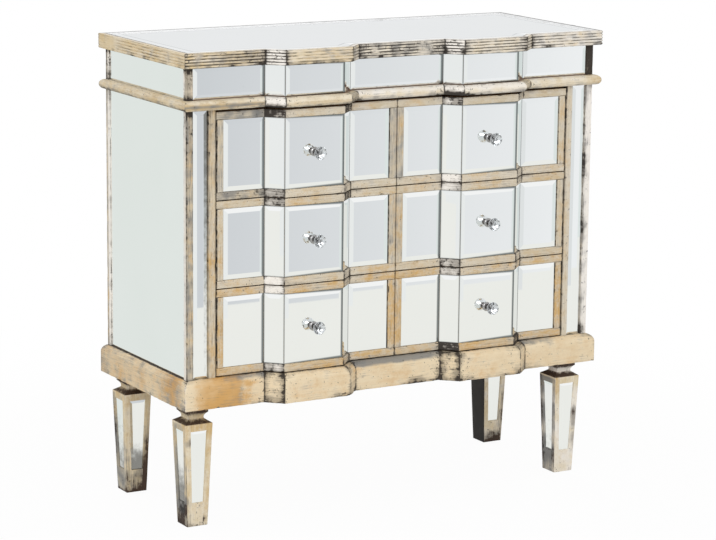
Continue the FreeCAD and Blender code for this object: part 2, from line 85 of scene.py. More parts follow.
class Nodes:
    """A node tree, with one method that adds any node."""

    def __init__(self, owner):
        owner.use_nodes = True
        self.tree = owner.node_tree

    def add(self, kind, settings=(), sockets=(), output=0):
        """Add a node of a type, set its settings, then give its sockets values or links."""
        node = self.tree.nodes.new(kind)
        for name, value in dict(settings).items():
            if name == "stops":
                self.set_stops(node.color_ramp, value)
            else:
                setattr(node, name, value)
        for name, value in dict(sockets).items():
            self.feed(node.inputs[name], value)
        return Socket(self, node.outputs[output]) if node.outputs else node

    def set_stops(self, ramp, stops):
        """Give a colour ramp its stops, which are (place, colour) pairs in order."""
        ramp.elements[0].position = stops[0][0]
        ramp.elements[1].position = stops[-1][0]
        for place, _ in stops[1:-1]:
            ramp.elements.new(place)
        for element, (_, colour) in zip(ramp.elements, stops):
            element.color = colour

    def feed(self, socket, value):
        """Link an input to another node's output, or set it to a constant."""
        if isinstance(value, Socket):
            self.tree.links.new(value.socket, socket)
        else:
            socket.default_value = value

    def noise(self, place, scale, detail=2.0):
        """Cloudy noise from 0 to 1, with so many clouds to the metre."""
        return self.add("ShaderNodeTexNoise", (), {"Vector": place, "Scale": scale, "Detail": detail})

    def stretch(self, place, factors):
        """A place whose three directions are scaled by factors."""
        return self.add("ShaderNodeVectorMath", {"operation": "MULTIPLY"}, {0: place, 1: factors})

    def blend(self, share, colour, other):
        """The first colour where share is 0, the other where it is 1."""
        return self.add("ShaderNodeMix", {"data_type": "RGBA"}, {0: share, 6: colour, 7: other}, 2)

    def attribute(self, name):
        """A number that the mesh carries at its points."""
        return self.add("ShaderNodeAttribute", {"attribute_name": name}, (), "Fac")

    def coordinates(self, kind="Object"):
        """The place, or another vector, of the point that is shaded."""
        return self.add("ShaderNodeTexCoord", (), (), kind)

    def part_of(self, place, axis):
        """A vector's X, Y or Z."""
        return self.add("ShaderNodeSeparateXYZ", (), {0: place}, axis)

    def bump(self, height, depth, strength=1.0):
        """A normal bent by a height whose full depth is in metres."""
        return self.add("ShaderNodeBump", (), {"Height": height, "Distance": depth, "Strength": strength})


class Finish(Nodes):
    """A material whose one Principled shader gets constants, and links where it varies."""

    def __init__(self, name, sockets):
        self.material = bpy.data.materials.new(name)
        super().__init__(self.material)
        self.shader = self.tree.nodes["Principled BSDF"]
        self.set(sockets)

    def set(self, sockets):
        """Set or link inputs of the shader."""
        for name, value in sockets.items():
            self.feed(self.shader.inputs[name], value)


def shade(*screen):
    """A colour as a screen shows it, 0 to 255, in the linear values that shaders take."""
    share = np.array(screen) / 255
    linear = np.where(share < 0.04045, share / 12.92, ((share + 0.055) / 1.055) ** 2.4)
    return (*linear, 1.0)


def dress(nodes, finish):
    """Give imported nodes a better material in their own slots."""
    for node in nodes:
        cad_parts[node].material_slots[0].material = finish


nylon = Finish("glide_nylon", {"Roughness": 0.5})
grain = nylon.noise(nylon.coordinates(), 900)
nylon.set({"Base Color": nylon.blend(grain, shade(38, 35, 32), shade(66, 62, 57)),
           "Normal": nylon.bump(grain, 0.0002, 0.4)})
dress(["floor_glides"], nylon.material)


# Leg bolts. Zinc-plated steel hanger bolts, screwed into the legs and held in the corner blocks, so
# they only show with the legs taken off.

zinc = Finish("zinc_plate", {"Metallic": 1.0})
bloom = zinc.noise(zinc.coordinates(), 240, 4)
zinc.set({"Base Color": zinc.blend(bloom, shade(176, 178, 180), shade(214, 212, 204)),
          "Roughness": bloom * 0.3 + 0.2})
dress(["leg_bolts"], zinc.material)


# Legs. Square tapered beech with a sloped shoulder, a hollow neck and a square cap, gessoed, gilded
# and rubbed. Each is bolted up into a corner block; shallow pockets take mirror on the outer faces.

def mesh_piece(name, patches, finish, body, replaced, crease=35):
    """One closed piece made of patches, each with points, faces, and values for its points.

    A patch's faces are an index array, its polygons single outlines, and its lay the (along, around)
    distance of each face corner, in the order of its faces and then its polygons.
    """
    points, faces, lay, values = [], [], [], {}
    for patch in patches:
        first = sum(len(p) for p in points)
        points.append(patch["points"])
        faces += (patch["faces"] + first).tolist()
        faces += [[first + i for i in polygon] for polygon in patch["polygons"]]
        lay.append(patch["lay"])
        for key, numbers in patch["values"].items():
            values.setdefault(key, []).append(numbers)
    mesh = bpy.data.meshes.new(name)
    mesh.from_pydata(np.concatenate(points), [], faces)
    mesh.uv_layers.new(name="lay").data.foreach_set("uv", np.concatenate(lay).astype(np.float32).ravel())
    for key, numbers in values.items():
        layer = mesh.attributes.new(key, "FLOAT", "POINT")
        layer.data.foreach_set("value", np.concatenate(numbers).astype(np.float32))
    mesh.polygons.foreach_set("use_smooth", np.ones(len(mesh.polygons), bool))
    mesh.set_sharp_from_angle(angle=np.radians(crease))
    mesh.materials.append(finish)
    piece = bpy.data.objects.new(name, mesh)
    bpy.context.scene.collection.objects.link(piece)
    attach(piece, body)
    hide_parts(*replaced)


def gilt_piece(node, patches, finish, body="carcass", crease=35):
    """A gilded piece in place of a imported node."""
    mesh_piece(node + "_gilded", patches, finish, body, [node], crease)


def tube_patch(rings, values, along):
    """A closed skin over rings of matching points, with a flat polygon on each end.

    Face (i, j) joins points j and j + 1 of rings i and i + 1. If that turns out inside out, which
    the sign of its volume tells, every face is turned round.
    """
    rows, columns = rings.shape[:2]
    index = np.arange(rows * columns).reshape(rows, columns)
    after = np.roll(index, -1, axis=1)
    faces = np.stack([index[:-1], after[:-1], after[1:], index[1:]], axis=-1).reshape(-1, 4)
    ends = [index[0][::-1].tolist(), index[-1].tolist()]
    around = np.linalg.norm(np.roll(rings, -1, axis=1) - rings, axis=-1).max(axis=0)
    start = np.concatenate([[0], np.cumsum(around)])
    corner = np.stack(np.broadcast_arrays(along[:, None], start[None, :]), axis=-1)
    lay = np.stack([corner[:-1, :-1], corner[:-1, 1:], corner[1:, 1:], corner[1:, :-1]], axis=2)
    lay = lay.reshape(-1, 4, 2)
    end_lay = [corner[0, :-1][::-1], corner[-1, :-1]]
    corners = rings.reshape(-1, 3)[faces] - rings.reshape(-1, 3).mean(axis=0)
    volume = np.einsum("ij,ij->i", corners[:, 0], np.cross(corners[:, 1], corners[:, 2])).sum()
    if volume < 0:
        faces = faces[:, ::-1]
        lay = lay[:, ::-1]
        ends = [end[::-1] for end in ends]
        end_lay = [end[::-1] for end in end_lay]
    return {"points": rings.reshape(-1, 3), "faces": faces, "polygons": ends,
            "lay": np.concatenate([lay.reshape(-1, 2), *end_lay]),
            "values": {key: np.broadcast_to(number, (rows, columns)).ravel()
                       for key, number in values.items()}}


def drift(along, around, wavelength, seed):
    """Smooth unevenness from about -1 to 1: seven sine waves in random directions, summed."""
    draw = np.random.default_rng(seed)
    total = 0
    for _ in range(7):
        turn = draw.uniform(0, 2 * np.pi)
        pitch = 2 * np.pi / (wavelength * draw.uniform(0.6, 1.7))
        wave = pitch * (along * np.cos(turn) + around * np.sin(turn))
        total = total + np.sin(wave + draw.uniform(0, 6.3))
    return total / 4


BOLE = shade(44, 38, 34)
RED_BOLE = shade(58, 40, 30)
SILVER = shade(246, 241, 234)
BARE_BROWN = shade(132, 106, 76)
GREY_VEIL = shade(106, 97, 84)
# The soft grey and the near black below stand for dust and soot, and also for painted shade where the mesh
# lays it on.
DUST_AND_SHADE_GREY = shade(124, 125, 125)
BRIGHT_TIN = shade(252, 252, 253)
SOOT_AND_SHADE_DARK = shade(40, 38, 37)


def gilding(name, leaf, warm, pale, streak, speck, bole=BOLE, crisp=1.0):
    """Rubbed leaf: clouds of two golds with drag marks along the length, paler where it is rubbed.

    streak is how far the drag marks bare brown wood, speck adds black specks, and crisp breaks up
    the stains. The mesh carries the rest. ridge is 1 on edges and -1 in grooves, worn is 1 where the
    piece is most distressed, tarnish greys the leaf and above a half bares the bole, filled is 1 where
    edges are knocked off, warmth deepens the gold or below 0 turns it silver, dust lies over it as a
    soft grey, and mitre is the distance to the nearest joint in metres. Tarnish also carries painted
    shade in gaps, grooves and undersides, and dust carries painted shade on faces and ledges turned
    from the light; both then darken the leaf as dirt would.
    """
    gilt = Finish(name, {"Specular IOR Level": 0.25})
    place = gilt.coordinates()
    lay = gilt.add("ShaderNodeUVMap", {"uv_map": "lay"})
    ridge, worn, filled = gilt.attribute("ridge"), gilt.attribute("worn"), gilt.attribute("filled")
    tarnish, mitre, warmth = gilt.attribute("tarnish"), gilt.attribute("mitre"), gilt.attribute("warmth")
    dust = gilt.attribute("dust")

    cloud = gilt.noise(place, 13, 3)
    patch = gilt.noise(place, 48, 4)
    flock = gilt.noise(place, 110, 4)
    pit = gilt.noise(place, 260, 3)
    drag = gilt.noise(gilt.stretch(lay, (26, 420, 1)), 1, 3)
    sweep = gilt.noise(gilt.stretch(lay, (9, 150, 1)), 1, 2)
    dash = gilt.noise(gilt.stretch(lay, (40, 180, 1)), 1, 3)
    fleck = gilt.noise(gilt.stretch(lay, (80, 240, 1)), 1, 4)
    deepened = (cloud + warmth.larger(0) * 0.5 + (fleck - 0.5) * streak).ease(0.40, 0.85)
    bared = (drag * 0.5 + sweep * 0.3 + fleck * 0.2).ease(0.48, 0.66) * streak
    gold = gilt.blend(bared, gilt.blend(deepened, leaf, warm), BARE_BROWN)

    rub = patch * 0.45 + pit * 0.25 + sweep * 0.3 + worn * 0.25 + ridge * 0.04 - warmth * 0.1
    rub = rub - (warmth - 0.4).larger(0) * 0.7
    rubbed = rub.ease(0.42, 0.68)
    colour = gilt.blend(rubbed * 0.8, gold, pale)
    silvered = ((patch - 0.5) * 0.8 - warmth).ease(0.1, 0.7)
    colour = gilt.blend(silvered * 0.9, colour, SILVER)
    colour = gilt.blend((warmth * -1).ease(1.3, 1.6), colour, BRIGHT_TIN)
    # Grey veil from tarnish and soft grey from dust: real tarnish and dust, and painted shade where the
    # mesh sets it.
    veil = (tarnish + (patch - 0.5) * 1.2 + (drag - 0.5) * 0.8).ease(0.08, 0.68)
    colour = gilt.blend(veil * 0.65, colour, GREY_VEIL)
    bloom = (dust + (patch - 0.5) * 0.9 + (drag - 0.5) * 0.7).ease(0.12, 0.9)
    colour = gilt.blend(bloom * 0.85, colour, DUST_AND_SHADE_GREY)

    specks = (pit * 0.7 + flock * 0.4 + worn * 0.13 + speck).ease(0.68, 0.78) * 0.85
    gripped = (dash + worn * 0.16 + tarnish * 0.2).ease(0.44, 0.58) * (worn * 0.9 + 0.55).smaller(1)
    ragged = (flock - 0.5) * 1.2 + (fleck - 0.5) * 1.2
    groove = (ragged - ridge).ease(0.15, 0.55) * (ridge * -1).ease(-0.1, 0.1) * (1 - filled) * gripped
    chips = (filled * ridge.larger(0) + (flock - 0.5) * 1.6).ease(0.55, 0.8)
    joint = mitre.ease(0.0022, 0.0007) * (flock + worn * 0.3).ease(0.45, 0.75)
    blotch = (flock - 0.5) * 1.7 + (drag - 0.5) * 1.1 + (pit - 0.5) * 0.6
    # The dark bole shows where tarnish is high: real stains, and painted shade in gaps, grooves and
    # undersides.
    stain_and_shade = (tarnish + blotch * crisp).ease(0.52, 0.9)
    dark = specks.larger(groove).larger(joint).larger(stain_and_shade).larger(chips)
    gilt.set({
        "Base Color": gilt.blend(dark * 0.93, colour, gilt.blend(dust.ease(0.6, 1.0), bole, SOOT_AND_SHADE_DARK)),
        "Metallic": (1 - dark) * 0.1,
        "Roughness": 0.56 + rubbed * 0.1 + dark * 0.16 + (cloud - 0.5) * 0.16,
        "Normal": gilt.bump(drag * 0.5 + pit * 0.4 - dark * 0.5, 0.0003, 0.5),
    })
    return gilt.material


leg_gilding = gilding("leg_gilding", shade(222, 206, 172), shade(208, 178, 126), shade(238, 228, 208),
                      streak=0.4, speck=-0.03, bole=RED_BOLE, crisp=0.65)

leg_corner = 0.0009
leg_pane_margin = 0.0105
leg_pane_foot = 0.045
leg_pane_head = 0.013
leg_pocket = 0.0022
pocket_wall = 0.0003
pocket_clearance = 0.00005
leg_foot_half = 0.0213
leg_neck_half = 0.0165
leg_cap_half = 0.0225
leg_cap_height = 0.014
leg_neck_height = 0.013
leg_shoulder = 0.008
leg_break = 0.0008
leg_cove = 0.0026
leg_row = 0.004


def leg_profile(foot, cap, half):
    """Levels and half widths up a leg: taper, sloped shoulder, hollow neck on a parabola, cap."""
    neck_top = cap - leg_cap_height
    neck = neck_top - leg_neck_height
    shoulder = neck - leg_shoulder
    shaft = np.linspace(foot, shoulder, int((shoulder - foot) / leg_row))
    taper = np.interp(shaft, [foot, shoulder], [leg_foot_half, half])
    share = np.linspace(0, 1, 9)
    hollow = 4 * leg_cove * share * (1 - share)
    levels = np.concatenate([shaft, [shoulder + leg_break, shoulder + leg_shoulder / 2],
                             neck + share * leg_neck_height, [neck_top + 0.005, neck_top + 0.010, cap]])
    halves = np.concatenate([taper, [half - leg_break, (half + leg_neck_half) / 2],
                             leg_neck_half + share * (leg_cap_half - leg_neck_half) - hollow,
                             [leg_cap_half] * 3])
    return levels, halves, shoulder


def with_pocket_rows(levels, halves, low, high):
    """The levels with a close pair of rows at each end of a pocket."""
    joined = np.sort(np.concatenate([levels, [low - pocket_clearance, low + pocket_wall],
                                     [high - pocket_wall, high + pocket_clearance]]), kind="stable")
    return joined, np.interp(joined, levels, halves)


def side_axes(side):
    """Unit vectors out of a leg's side and along it; sides count from the right one, by the back."""
    out = np.array([np.cos(side * np.pi / 2), np.sin(side * np.pi / 2), 0])
    return out, np.array([-out[1], out[0], 0])


def leg_rings(centre, levels, halves, low, high, sides, rounding):
    """Rings of a square with rounded corners, with the points inside each pocket's outline set back.

    On each side six points lie across: corner, both lips of the pocket's wall, and back again. Three
    more turn the corner to the next side.
    """
    field = (halves - leg_pane_margin)[:, None]
    flat = (halves - rounding)[:, None]
    across = np.concatenate([-flat, -field, pocket_wall - field, field - pocket_wall, field, flat], axis=1)
    inside = ((levels > low) & (levels < high))[:, None] & np.array([0, 0, 1, 1, 0, 0], bool)[None, :]
    turn = np.radians([22.5, 45.0, 67.5])
    rings, ridges = [], []
    for side in range(4):
        out, over = side_axes(side)
        pocket = side in sides
        depth = np.where(inside, leg_pocket * pocket, 0)
        bend = np.cos(turn)[:, None] * out + np.sin(turn)[:, None] * over
        rings += [(halves[:, None] - depth)[..., None] * out + across[..., None] * over,
                  flat[..., None] * (out + over) + rounding[:, None, None] * bend]
        ridges += [0.4, 0.2 * pocket, -0.5 * pocket, -0.5 * pocket, 0.2 * pocket, 0.4, 0.8, 1.0, 0.8]
    rings = np.concatenate(rings, axis=1)
    rings[..., 2] += levels[:, None]
    return rings + np.array([centre.x, centre.y, 0]), np.array(ridges)


RIGHT_SIDE, BACK_SIDE, LEFT_SIDE, FRONT_SIDE = range(4)
SIDE_COLUMNS = 9
ON_LEFT = LEFT_SIDE * SIDE_COLUMNS
ON_FRONT = FRONT_SIDE * SIDE_COLUMNS


def hump(place, middle, reach):
    """A soft mark: 1 in the middle, and next to nothing two reaches away."""
    return np.exp(-((place - middle) / reach) ** 2)


def marks_at(rise, column, marks):
    """Soft marks on a leg: each has its height and column, its reach in both, and its strength."""
    total = 0
    for middle, across, tall, wide, strength in marks:
        total = total + strength * hump(rise, middle, tall) * hump(column, across, wide)
    return total


# Each leg's dust greys the lower left face as painted shade on the side turned from the light, with real
# dust near the feet.
legs = {
    "front_left_leg": {
        "panes": (FRONT_SIDE, RIGHT_SIDE, LEFT_SIDE), "fog": {LEFT_SIDE: (1.1, -0.4)},
        "foot": 0.6, "warmth": (0.2, 0.25, 0.35, 0.2), "glow": [],
        "dust": [(0.06, ON_LEFT + 2, 0.14, 4, 0.85)],
        "marks": [(0.0, ON_LEFT + 2, 0.05, 4, 0.9), (0.065, ON_LEFT + 7, 0.055, 1.3, 1.0),
                  (0.02, ON_LEFT + 7, 0.03, 2.2, 0.5), (0.012, ON_FRONT + 4, 0.006, 0.8, 1.0),
                  (0.165, ON_FRONT + 0.7, 0.008, 0.6, 0.9)]},
    "front_right_leg": {
        "panes": (FRONT_SIDE, RIGHT_SIDE, LEFT_SIDE), "fog": {LEFT_SIDE: (0.3, 0.0)},
        "foot": 0.1, "warmth": (-0.4, -0.6, 0.15, -1.0), "glow": [(0.17, ON_FRONT + 0.4, 0.06, 1.3, 0.55)],
        "dust": [(0.1, ON_LEFT + 2, 0.2, 4, 0.9)],
        "marks": [(0.1, ON_LEFT - 1, 0.15, 1.7, 1.3), (0.13, ON_LEFT + 6, 0.1, 1.0, 0.7),
                  (0.015, ON_LEFT + 5, 0.03, 1.6, 0.8), (0.10, ON_FRONT + 4.6, 0.04, 0.9, 1.1)]},
    "back_left_leg": {
        "panes": (FRONT_SIDE, LEFT_SIDE), "fog": {LEFT_SIDE: (0.7, 0.0), FRONT_SIDE: (1.3, -1.6)},
        "foot": 1.0, "warmth": (0.1, 0.1, 0.15, 0.1), "glow": [],
        "dust": [(0.06, ON_LEFT + 1, 0.13, 3.5, 0.85), (0.0, ON_FRONT + 3, 0.06, 5, 0.4)],
        "marks": [(0.05, ON_FRONT + 5.4, 0.08, 1.7, 1.5), (0.0, ON_FRONT + 3, 0.045, 5, 0.85),
                  (0.01, ON_LEFT + 7, 0.07, 2.4, 0.6), (0.1, ON_LEFT, 0.1, 1.2, 0.8)]},
    "back_right_leg": {
        "panes": (FRONT_SIDE, RIGHT_SIDE), "fog": {},
        "foot": 1.0, "warmth": (-0.3, -0.25, -0.2, -0.2), "glow": [],
        "dust": [(0.01, ON_FRONT + 3, 0.04, 4, 0.35)],
        "marks": [(0.0, ON_FRONT + 3, 0.03, 4, 0.7), (0.07, ON_FRONT + 5, 0.05, 0.9, 0.6)]}}
for order, (leg, look) in enumerate(legs.items()):
    low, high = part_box(leg)
    levels, halves, shoulder = leg_profile(low.z, high.z, (high.x - low.x) / 2)
    pane_low, pane_high = low.z + leg_pane_foot, shoulder - leg_pane_head
    levels, halves = with_pocket_rows(levels, halves, pane_low, pane_high)
    rounding = leg_corner * (1 + 0.8 * np.clip(drift(levels, 0, 0.06, 70 + order), 0, 1))
    rings, ridge = leg_rings((low + high) / 2, levels, halves, pane_low, pane_high, look["panes"], rounding)
    column = np.arange(4 * SIDE_COLUMNS)
    side = column // SIDE_COLUMNS
    rise = (levels - low.z)[:, None]
    on_shaft = (levels < shoulder)[:, None]
    shaded = np.isin(side, [LEFT_SIDE, BACK_SIDE]).astype(float)
    raw = np.array([s not in look["panes"] and leg.startswith("back") for s in side], float)
    uneven = drift(levels[:, None], column * 0.006, 0.05, 40 + order)
    edge_rows = np.interp(levels, [shoulder - 0.003, shoulder, shoulder + 0.001], [0, 1, 0])
    # The shoulder keeps its dark bole; the cap is darkened as painted shade under the plinth, and the neck
    # between is left pale.
    bole_and_cap_shade = np.interp(levels, [shoulder, shoulder + 0.001, shoulder + 0.0075, shoulder + 0.0085,
                                 high.z - 0.020, high.z - 0.014], [0, 1, 1, 0.1, 0.15, 1])
    scuff = np.interp(rise, [0, 0.012, 0.05, 0.1], [0.7, 0.45, 0.25, 0.1])
    # This darkens the left and back sides a little as painted shade, and adds the marks and a dark foot as
    # dirt and knocks.
    grime_and_shade = 0.1 * shaded + marks_at(rise, column, look["marks"])
    grime_and_shade = grime_and_shade + look["foot"] * np.interp(rise, [0, 0.003, 0.009], [0.8, 0.45, 0])
    tarnish = (bole_and_cap_shade[:, None] * (1 + 0.2 * uneven) + grime_and_shade * on_shaft * (1 + 0.4 * uneven)
               + 1.7 * raw * on_shaft + 0.05 * uneven)
    warmth_levels = [low.z, shoulder - 0.05, shoulder, shoulder + leg_shoulder]
    warmth = np.interp(levels, warmth_levels, look["warmth"])[:, None]
    leg_patch = tube_patch(rings, {
        "ridge": np.maximum(ridge, edge_rows[:, None]),
        "worn": np.clip(scuff + 0.25 * uneven, 0, 1), "tarnish": np.clip(tarnish, 0, 1.7),
        "dust": marks_at(rise, column, look["dust"]) * on_shaft * (1 + 0.3 * uneven) + 1.2 * raw,
        "warmth": warmth + marks_at(rise, column, look["glow"]), "mitre": 1.0}, levels)
    gilt_piece(leg, [leg_patch], leg_gilding)


# Mirror glass. Silvered 4 mm plate with ground and polished bevels, cut to each field and held by
# mastic and the gilt frames round it. Mitred edges meet at the cants with a fine dark joint. Grey
# clouding on some panes is painted reflection of the shaded floor and painted shade, besides
# perished silver, and dark bands on some bevels beside the joints are painted reflection.

CLEAR_OF_JOINTS = 0.1
glass_thickness = 0.004
bevel_depth = 0.001


def glass_patch(outlines, joint=CLEAR_OF_JOINTS, fog=0.0):
    """A closed stack of matching outlines, back first and polished face last.

    joint is the distance of each point from a mitred joint, set below 0 where a painted dark
    reflection widens the joint on a bevel, and fog how far the plate is greyed: perished silver,
    painted reflection of the shaded floor on the leg panes, and painted shade on the left pilaster's bevel.
    """
    rings = np.array(outlines, float)
    return tube_patch(rings, {"joint": joint, "fog": fog}, np.arange(len(rings)) * 0.01)


def glass_piece(name, panes, node, body="carcass"):
    """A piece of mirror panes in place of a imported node."""
    mesh_piece(name, panes, mirror_glass, body, [node], crease=1)


silvering = Finish("bevelled_mirror", {"Metallic": 1.0})
silver_cloud = silvering.noise(silvering.coordinates(), 5, 2)
silver_loss = silvering.noise(silvering.coordinates(), 90, 4)
plate = silvering.blend(silver_cloud, shade(239, 241, 240), shade(244, 245, 245))
# Greying from fog: perished silver, and painted reflection and painted shade where the mesh sets it.
clouded_and_shaded = (silvering.attribute("fog") + (silver_loss - 0.5) * 0.9).ease(0.15, 0.95)
# A fine dark joint; where the joint distance starts below 0 it widens into a painted dark reflection on the
# bevel.
joint_and_bevel_shade = silvering.attribute("joint").ease(0.0022, -0.0012)
plate = silvering.blend(clouded_and_shaded * 0.85, plate, shade(112, 110, 106))
silvering.set({
    "Base Color": silvering.blend(joint_and_bevel_shade * 0.92, plate, shade(112, 117, 117)),
    "Roughness": 0.012 + silver_cloud * 0.012 + joint_and_bevel_shade * 0.2 + clouded_and_shaded * 0.25,
})
mirror_glass = silvering.material

leg_pane_recess = 0.0008
leg_pane_thickness = 0.003
leg_pane_bevel = 0.005
leg_pane_fit = 0.00015

CLEAN = (0.0, 0.0)
leg_glass = []
for leg, look in legs.items():
    low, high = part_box(leg)
    centre = np.array([(low.x + high.x) / 2, (low.y + high.y) / 2, 0])
    levels, halves, shoulder = leg_profile(low.z, high.z, (high.x - low.x) / 2)
    for side in look["panes"]:
        out, over = side_axes(side)

        def field(depth, inset):
            """The corners of the tapered field of a leg's face, sunk and drawn in."""
            bottom, top = low.z + leg_pane_foot + inset, shoulder - leg_pane_head - inset
            rise = np.array([bottom, bottom, top, top])
            reach = np.interp(rise, levels, halves)
            wide = (reach - leg_pane_margin - inset) * np.array([-1, 1, 1, -1])
            return (centre + (reach - depth)[:, None] * out + wide[:, None] * over
                    + rise[:, None] * np.array([0, 0, 1]))

        pane_clouding = np.repeat(look["fog"].get(side, CLEAN), 2)
        leg_glass.append(glass_patch([field(leg_pane_recess + leg_pane_thickness, leg_pane_fit),
                                      field(leg_pane_recess + bevel_depth, leg_pane_fit),
                                      field(leg_pane_recess, leg_pane_fit + leg_pane_bevel)], fog=pane_clouding))
glass_piece("leg_panes", leg_glass, "leg_mirrors")


# Plinth. Poplar moulding with a rounded upper edge, cut in mitred lengths round the breakfront and
# glued to the base board. It is gilded warmer than the rest and tarnished in places. The ledges of
# the flats beside the blocks, and its left side, are greyed as painted shade.

def node_points(node):
    """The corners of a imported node's mesh."""
    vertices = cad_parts[node].data.vertices
    points = np.empty(len(vertices) * 3)
    vertices.foreach_get("co", points)
    return points.reshape(-1, 3)


drawer_frame = node_points("right_top_drawer_frame")
stile_low, stile_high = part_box("right_front_stile")
knob_low, knob_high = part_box("right_top_drawer_knob")
case_front = stile_low.y
case_side = stile_high.x
block_front = drawer_frame[:, 1].min()
block_face = drawer_frame[drawer_frame[:, 1] < block_front + 1e-5, 0]
block_centre = (knob_low.x + knob_high.x) / 2
block_half = (block_face.max() - block_face.min()) / 2
block_projection = case_front - block_front
plan_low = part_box("top_moulding_front")[0]
plan_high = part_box("top_moulding_returns")[1]
front_overhang = block_front - plan_low.y
LEFT_RETURN, RIGHT_RETURN, BACK_LENGTH = 0, 10, 11
LEFT_FLAT, MIDDLE_FLAT, RIGHT_FLAT = 1, 5, 9
LEFT_BLOCK, RIGHT_BLOCK = 3, 7
NEAR_CANTS, FAR_CANTS = (2, 6), (4, 8)
FRONT_LENGTHS = (LEFT_FLAT, LEFT_BLOCK, MIDDLE_FLAT, RIGHT_BLOCK, RIGHT_FLAT)


def by_length(i, front, other):
    """A length's own value: flat, block, flat, block and flat have theirs in front, the rest another."""
    return dict(zip(FRONT_LENGTHS, front)).get(i, other)


def at_height(plan, height):
    """Plan points at a height."""
    return np.column_stack([plan, np.full(len(plan), height)])


def block_line(forward, centre, left, right):
    """The front line round one block, moved forward of the case: flat, cant, face, cant, flat."""
    face = block_half + forward * np.tan(np.pi / 8)
    foot = face + block_projection
    flat = case_front - forward
    xs = [left, centre - foot, centre - face, centre + face, centre + foot, right]
    ys = flat - block_projection * np.array([0, 0, 1, 1, 0, 0])
    return np.stack([xs, ys], axis=1)


def front_line(forward, half_width):
    """The whole breakfront line from left to right."""
    return np.concatenate([block_line(forward, -block_centre, -half_width, 0)[:-1],
                           block_line(forward, block_centre, 0, half_width)[1:]])


def outline(out):
    """The plan that plinth, waist and top share, moved outwards, from the back left corner round."""
    half_width = plan_high.x + out
    back = plan_high.y + out
    return np.concatenate([[(-half_width, back)], front_line(front_overhang + out, half_width),
                           [(half_width, back)]])


length_step = 0.004
lay_gap = 0.211
most_worn = 1.5


def length_patch(fresh, worn_down, wear, values, step, lay_from):
    """A straight length: each point of a closed loop runs from the start loop to the end loop.

    fresh and worn_down are (start, end) pairs of matching loops, and wear(along, around) is the share
    of the worn one. The loops lie on the mitre planes, so the ends come out mitred either way.
    """
    start, end = fresh
    longest = np.linalg.norm(end - start, axis=1).max()
    share = np.linspace(0, 1, max(2, int(np.ceil(longest / step)) + 1))
    along = lay_from + share * longest
    around = np.concatenate([[0], np.cumsum(np.linalg.norm(np.diff(start, axis=0), axis=1))])
    run = share[:, None, None]
    worn_share = wear(along[:, None], around[None, :])[..., None]
    rings = ((1 - run) * start + run * end) * (1 - worn_share)
    rings += ((1 - run) * worn_down[0] + run * worn_down[1]) * worn_share
    nearest = np.minimum(share, 1 - share) * longest
    found = {key: value(share * longest, longest) if callable(value) else value
             for key, value in values.items()}
    return tube_patch(rings, {"mitre": nearest[:, None], "filled": worn_share[..., 0], **found}, along)


def mitred_run(line, profile, worn_profile, bottom, values, wear, step=length_step, closed=True):
    """The lengths of a moulding round a plan line; line(out) is the plan moved outwards.

    Profiles hold (inwards, up) points. Each point follows the plan moved in by its own depth.
    """
    def loops(points):
        """The profile's points at every corner of the plan."""
        return np.stack([at_height(line(-inwards), bottom + up) for inwards, up in points], axis=1)

    fresh, worn_down = loops(profile), loops(worn_profile)
    lay_from = 0.0
    lengths = []
    for i in range(len(fresh) if closed else len(fresh) - 1):
        after = (i + 1) % len(fresh)
        lengths.append(length_patch((fresh[i], fresh[after]), (worn_down[i], worn_down[after]), wear,
                                    values(i), step, lay_from))
        lay_from += np.linalg.norm(fresh[after] - fresh[i], axis=1).max() + lay_gap
    return lengths


def fading(ends, reach, base=0.0):
    """A value along a length: its base, raised at the two ends and fading over a reach."""
    def value(along, longest):
        first = ends[0] * np.exp(-along / reach)
        last = ends[1] * np.exp(-(longest - along) / reach)
        return np.clip(base + first + last, 0, most_worn)[:, None]
    return value


def over_points(value, weights, added=0.0):
    """A value along a length, spread over the points of its loop by weights, plus what each point adds."""
    def spread(along, longest):
        return np.clip(value(along, longest) * weights + added, 0, most_worn)
    return spread


def uneven_wear(wavelength, seed, share=0.0):
    """Wear in smooth patches, from 0 to 1; share moves the balance towards wear."""
    def wear(along, around):
        return np.clip(drift(along, around, wavelength, seed) + share, 0, 1)
    return wear


nowhere = fading((0, 0), 1.0)
plinth_gilding = gilding("plinth_gilding", shade(229, 207, 171), shade(211, 165, 101), shade(238, 221, 190),
                         streak=0.12, speck=-0.015)
plinth_low, plinth_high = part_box("plinth_moulding")
plinth_height = plinth_high.z - plinth_low.z
plinth_thickness = 0.020
round_depth = 0.011
round_height = 0.015
round_radius = (round_depth ** 2 + round_height ** 2) / (2 * round_depth)
turn = np.linspace(0, np.arcsin(round_height / round_radius), 9)
round_over = np.stack([round_radius * (1 - np.cos(turn)),
                       plinth_height - round_height + round_radius * np.sin(turn)], axis=1)
plinth_profile = np.concatenate([
    [(plinth_thickness, 0), (0.0008, 0), (0.0002, 0.0002), (0, 0.0008), (0, 0.006), (0, 0.015), (0, 0.027)],
    round_over, [(0.0155, plinth_height), (plinth_thickness, plinth_height)]])
plinth_worn = plinth_profile.copy()
plinth_worn[1:4] = [(0.0030, 0), (0.0014, 0.0010), (0.0003, 0.0026)]
plinth_worn[4:16, 0] += 0.0003
plinth_ridge = np.array([0, 0.6, 1, 0.6, 0.1, 0, 0, 0, 0, 0.1, 0.25, 0.4, 0.3, 0.1, 0, 0, -0.5, -0.8])
plinth_ledge = np.concatenate([np.zeros(7), np.clip(np.linspace(-0.5, 1.6, 9), 0, 1), [1, 1]])
plinth_wide_ledge = np.concatenate([np.zeros(7), np.clip(np.linspace(-0.2, 2.2, 9), 0, 1), [1, 1]])
plinth_foot = np.concatenate([[0, 1, 1, 1, 0.55, 0.15, 0], np.zeros(11)])
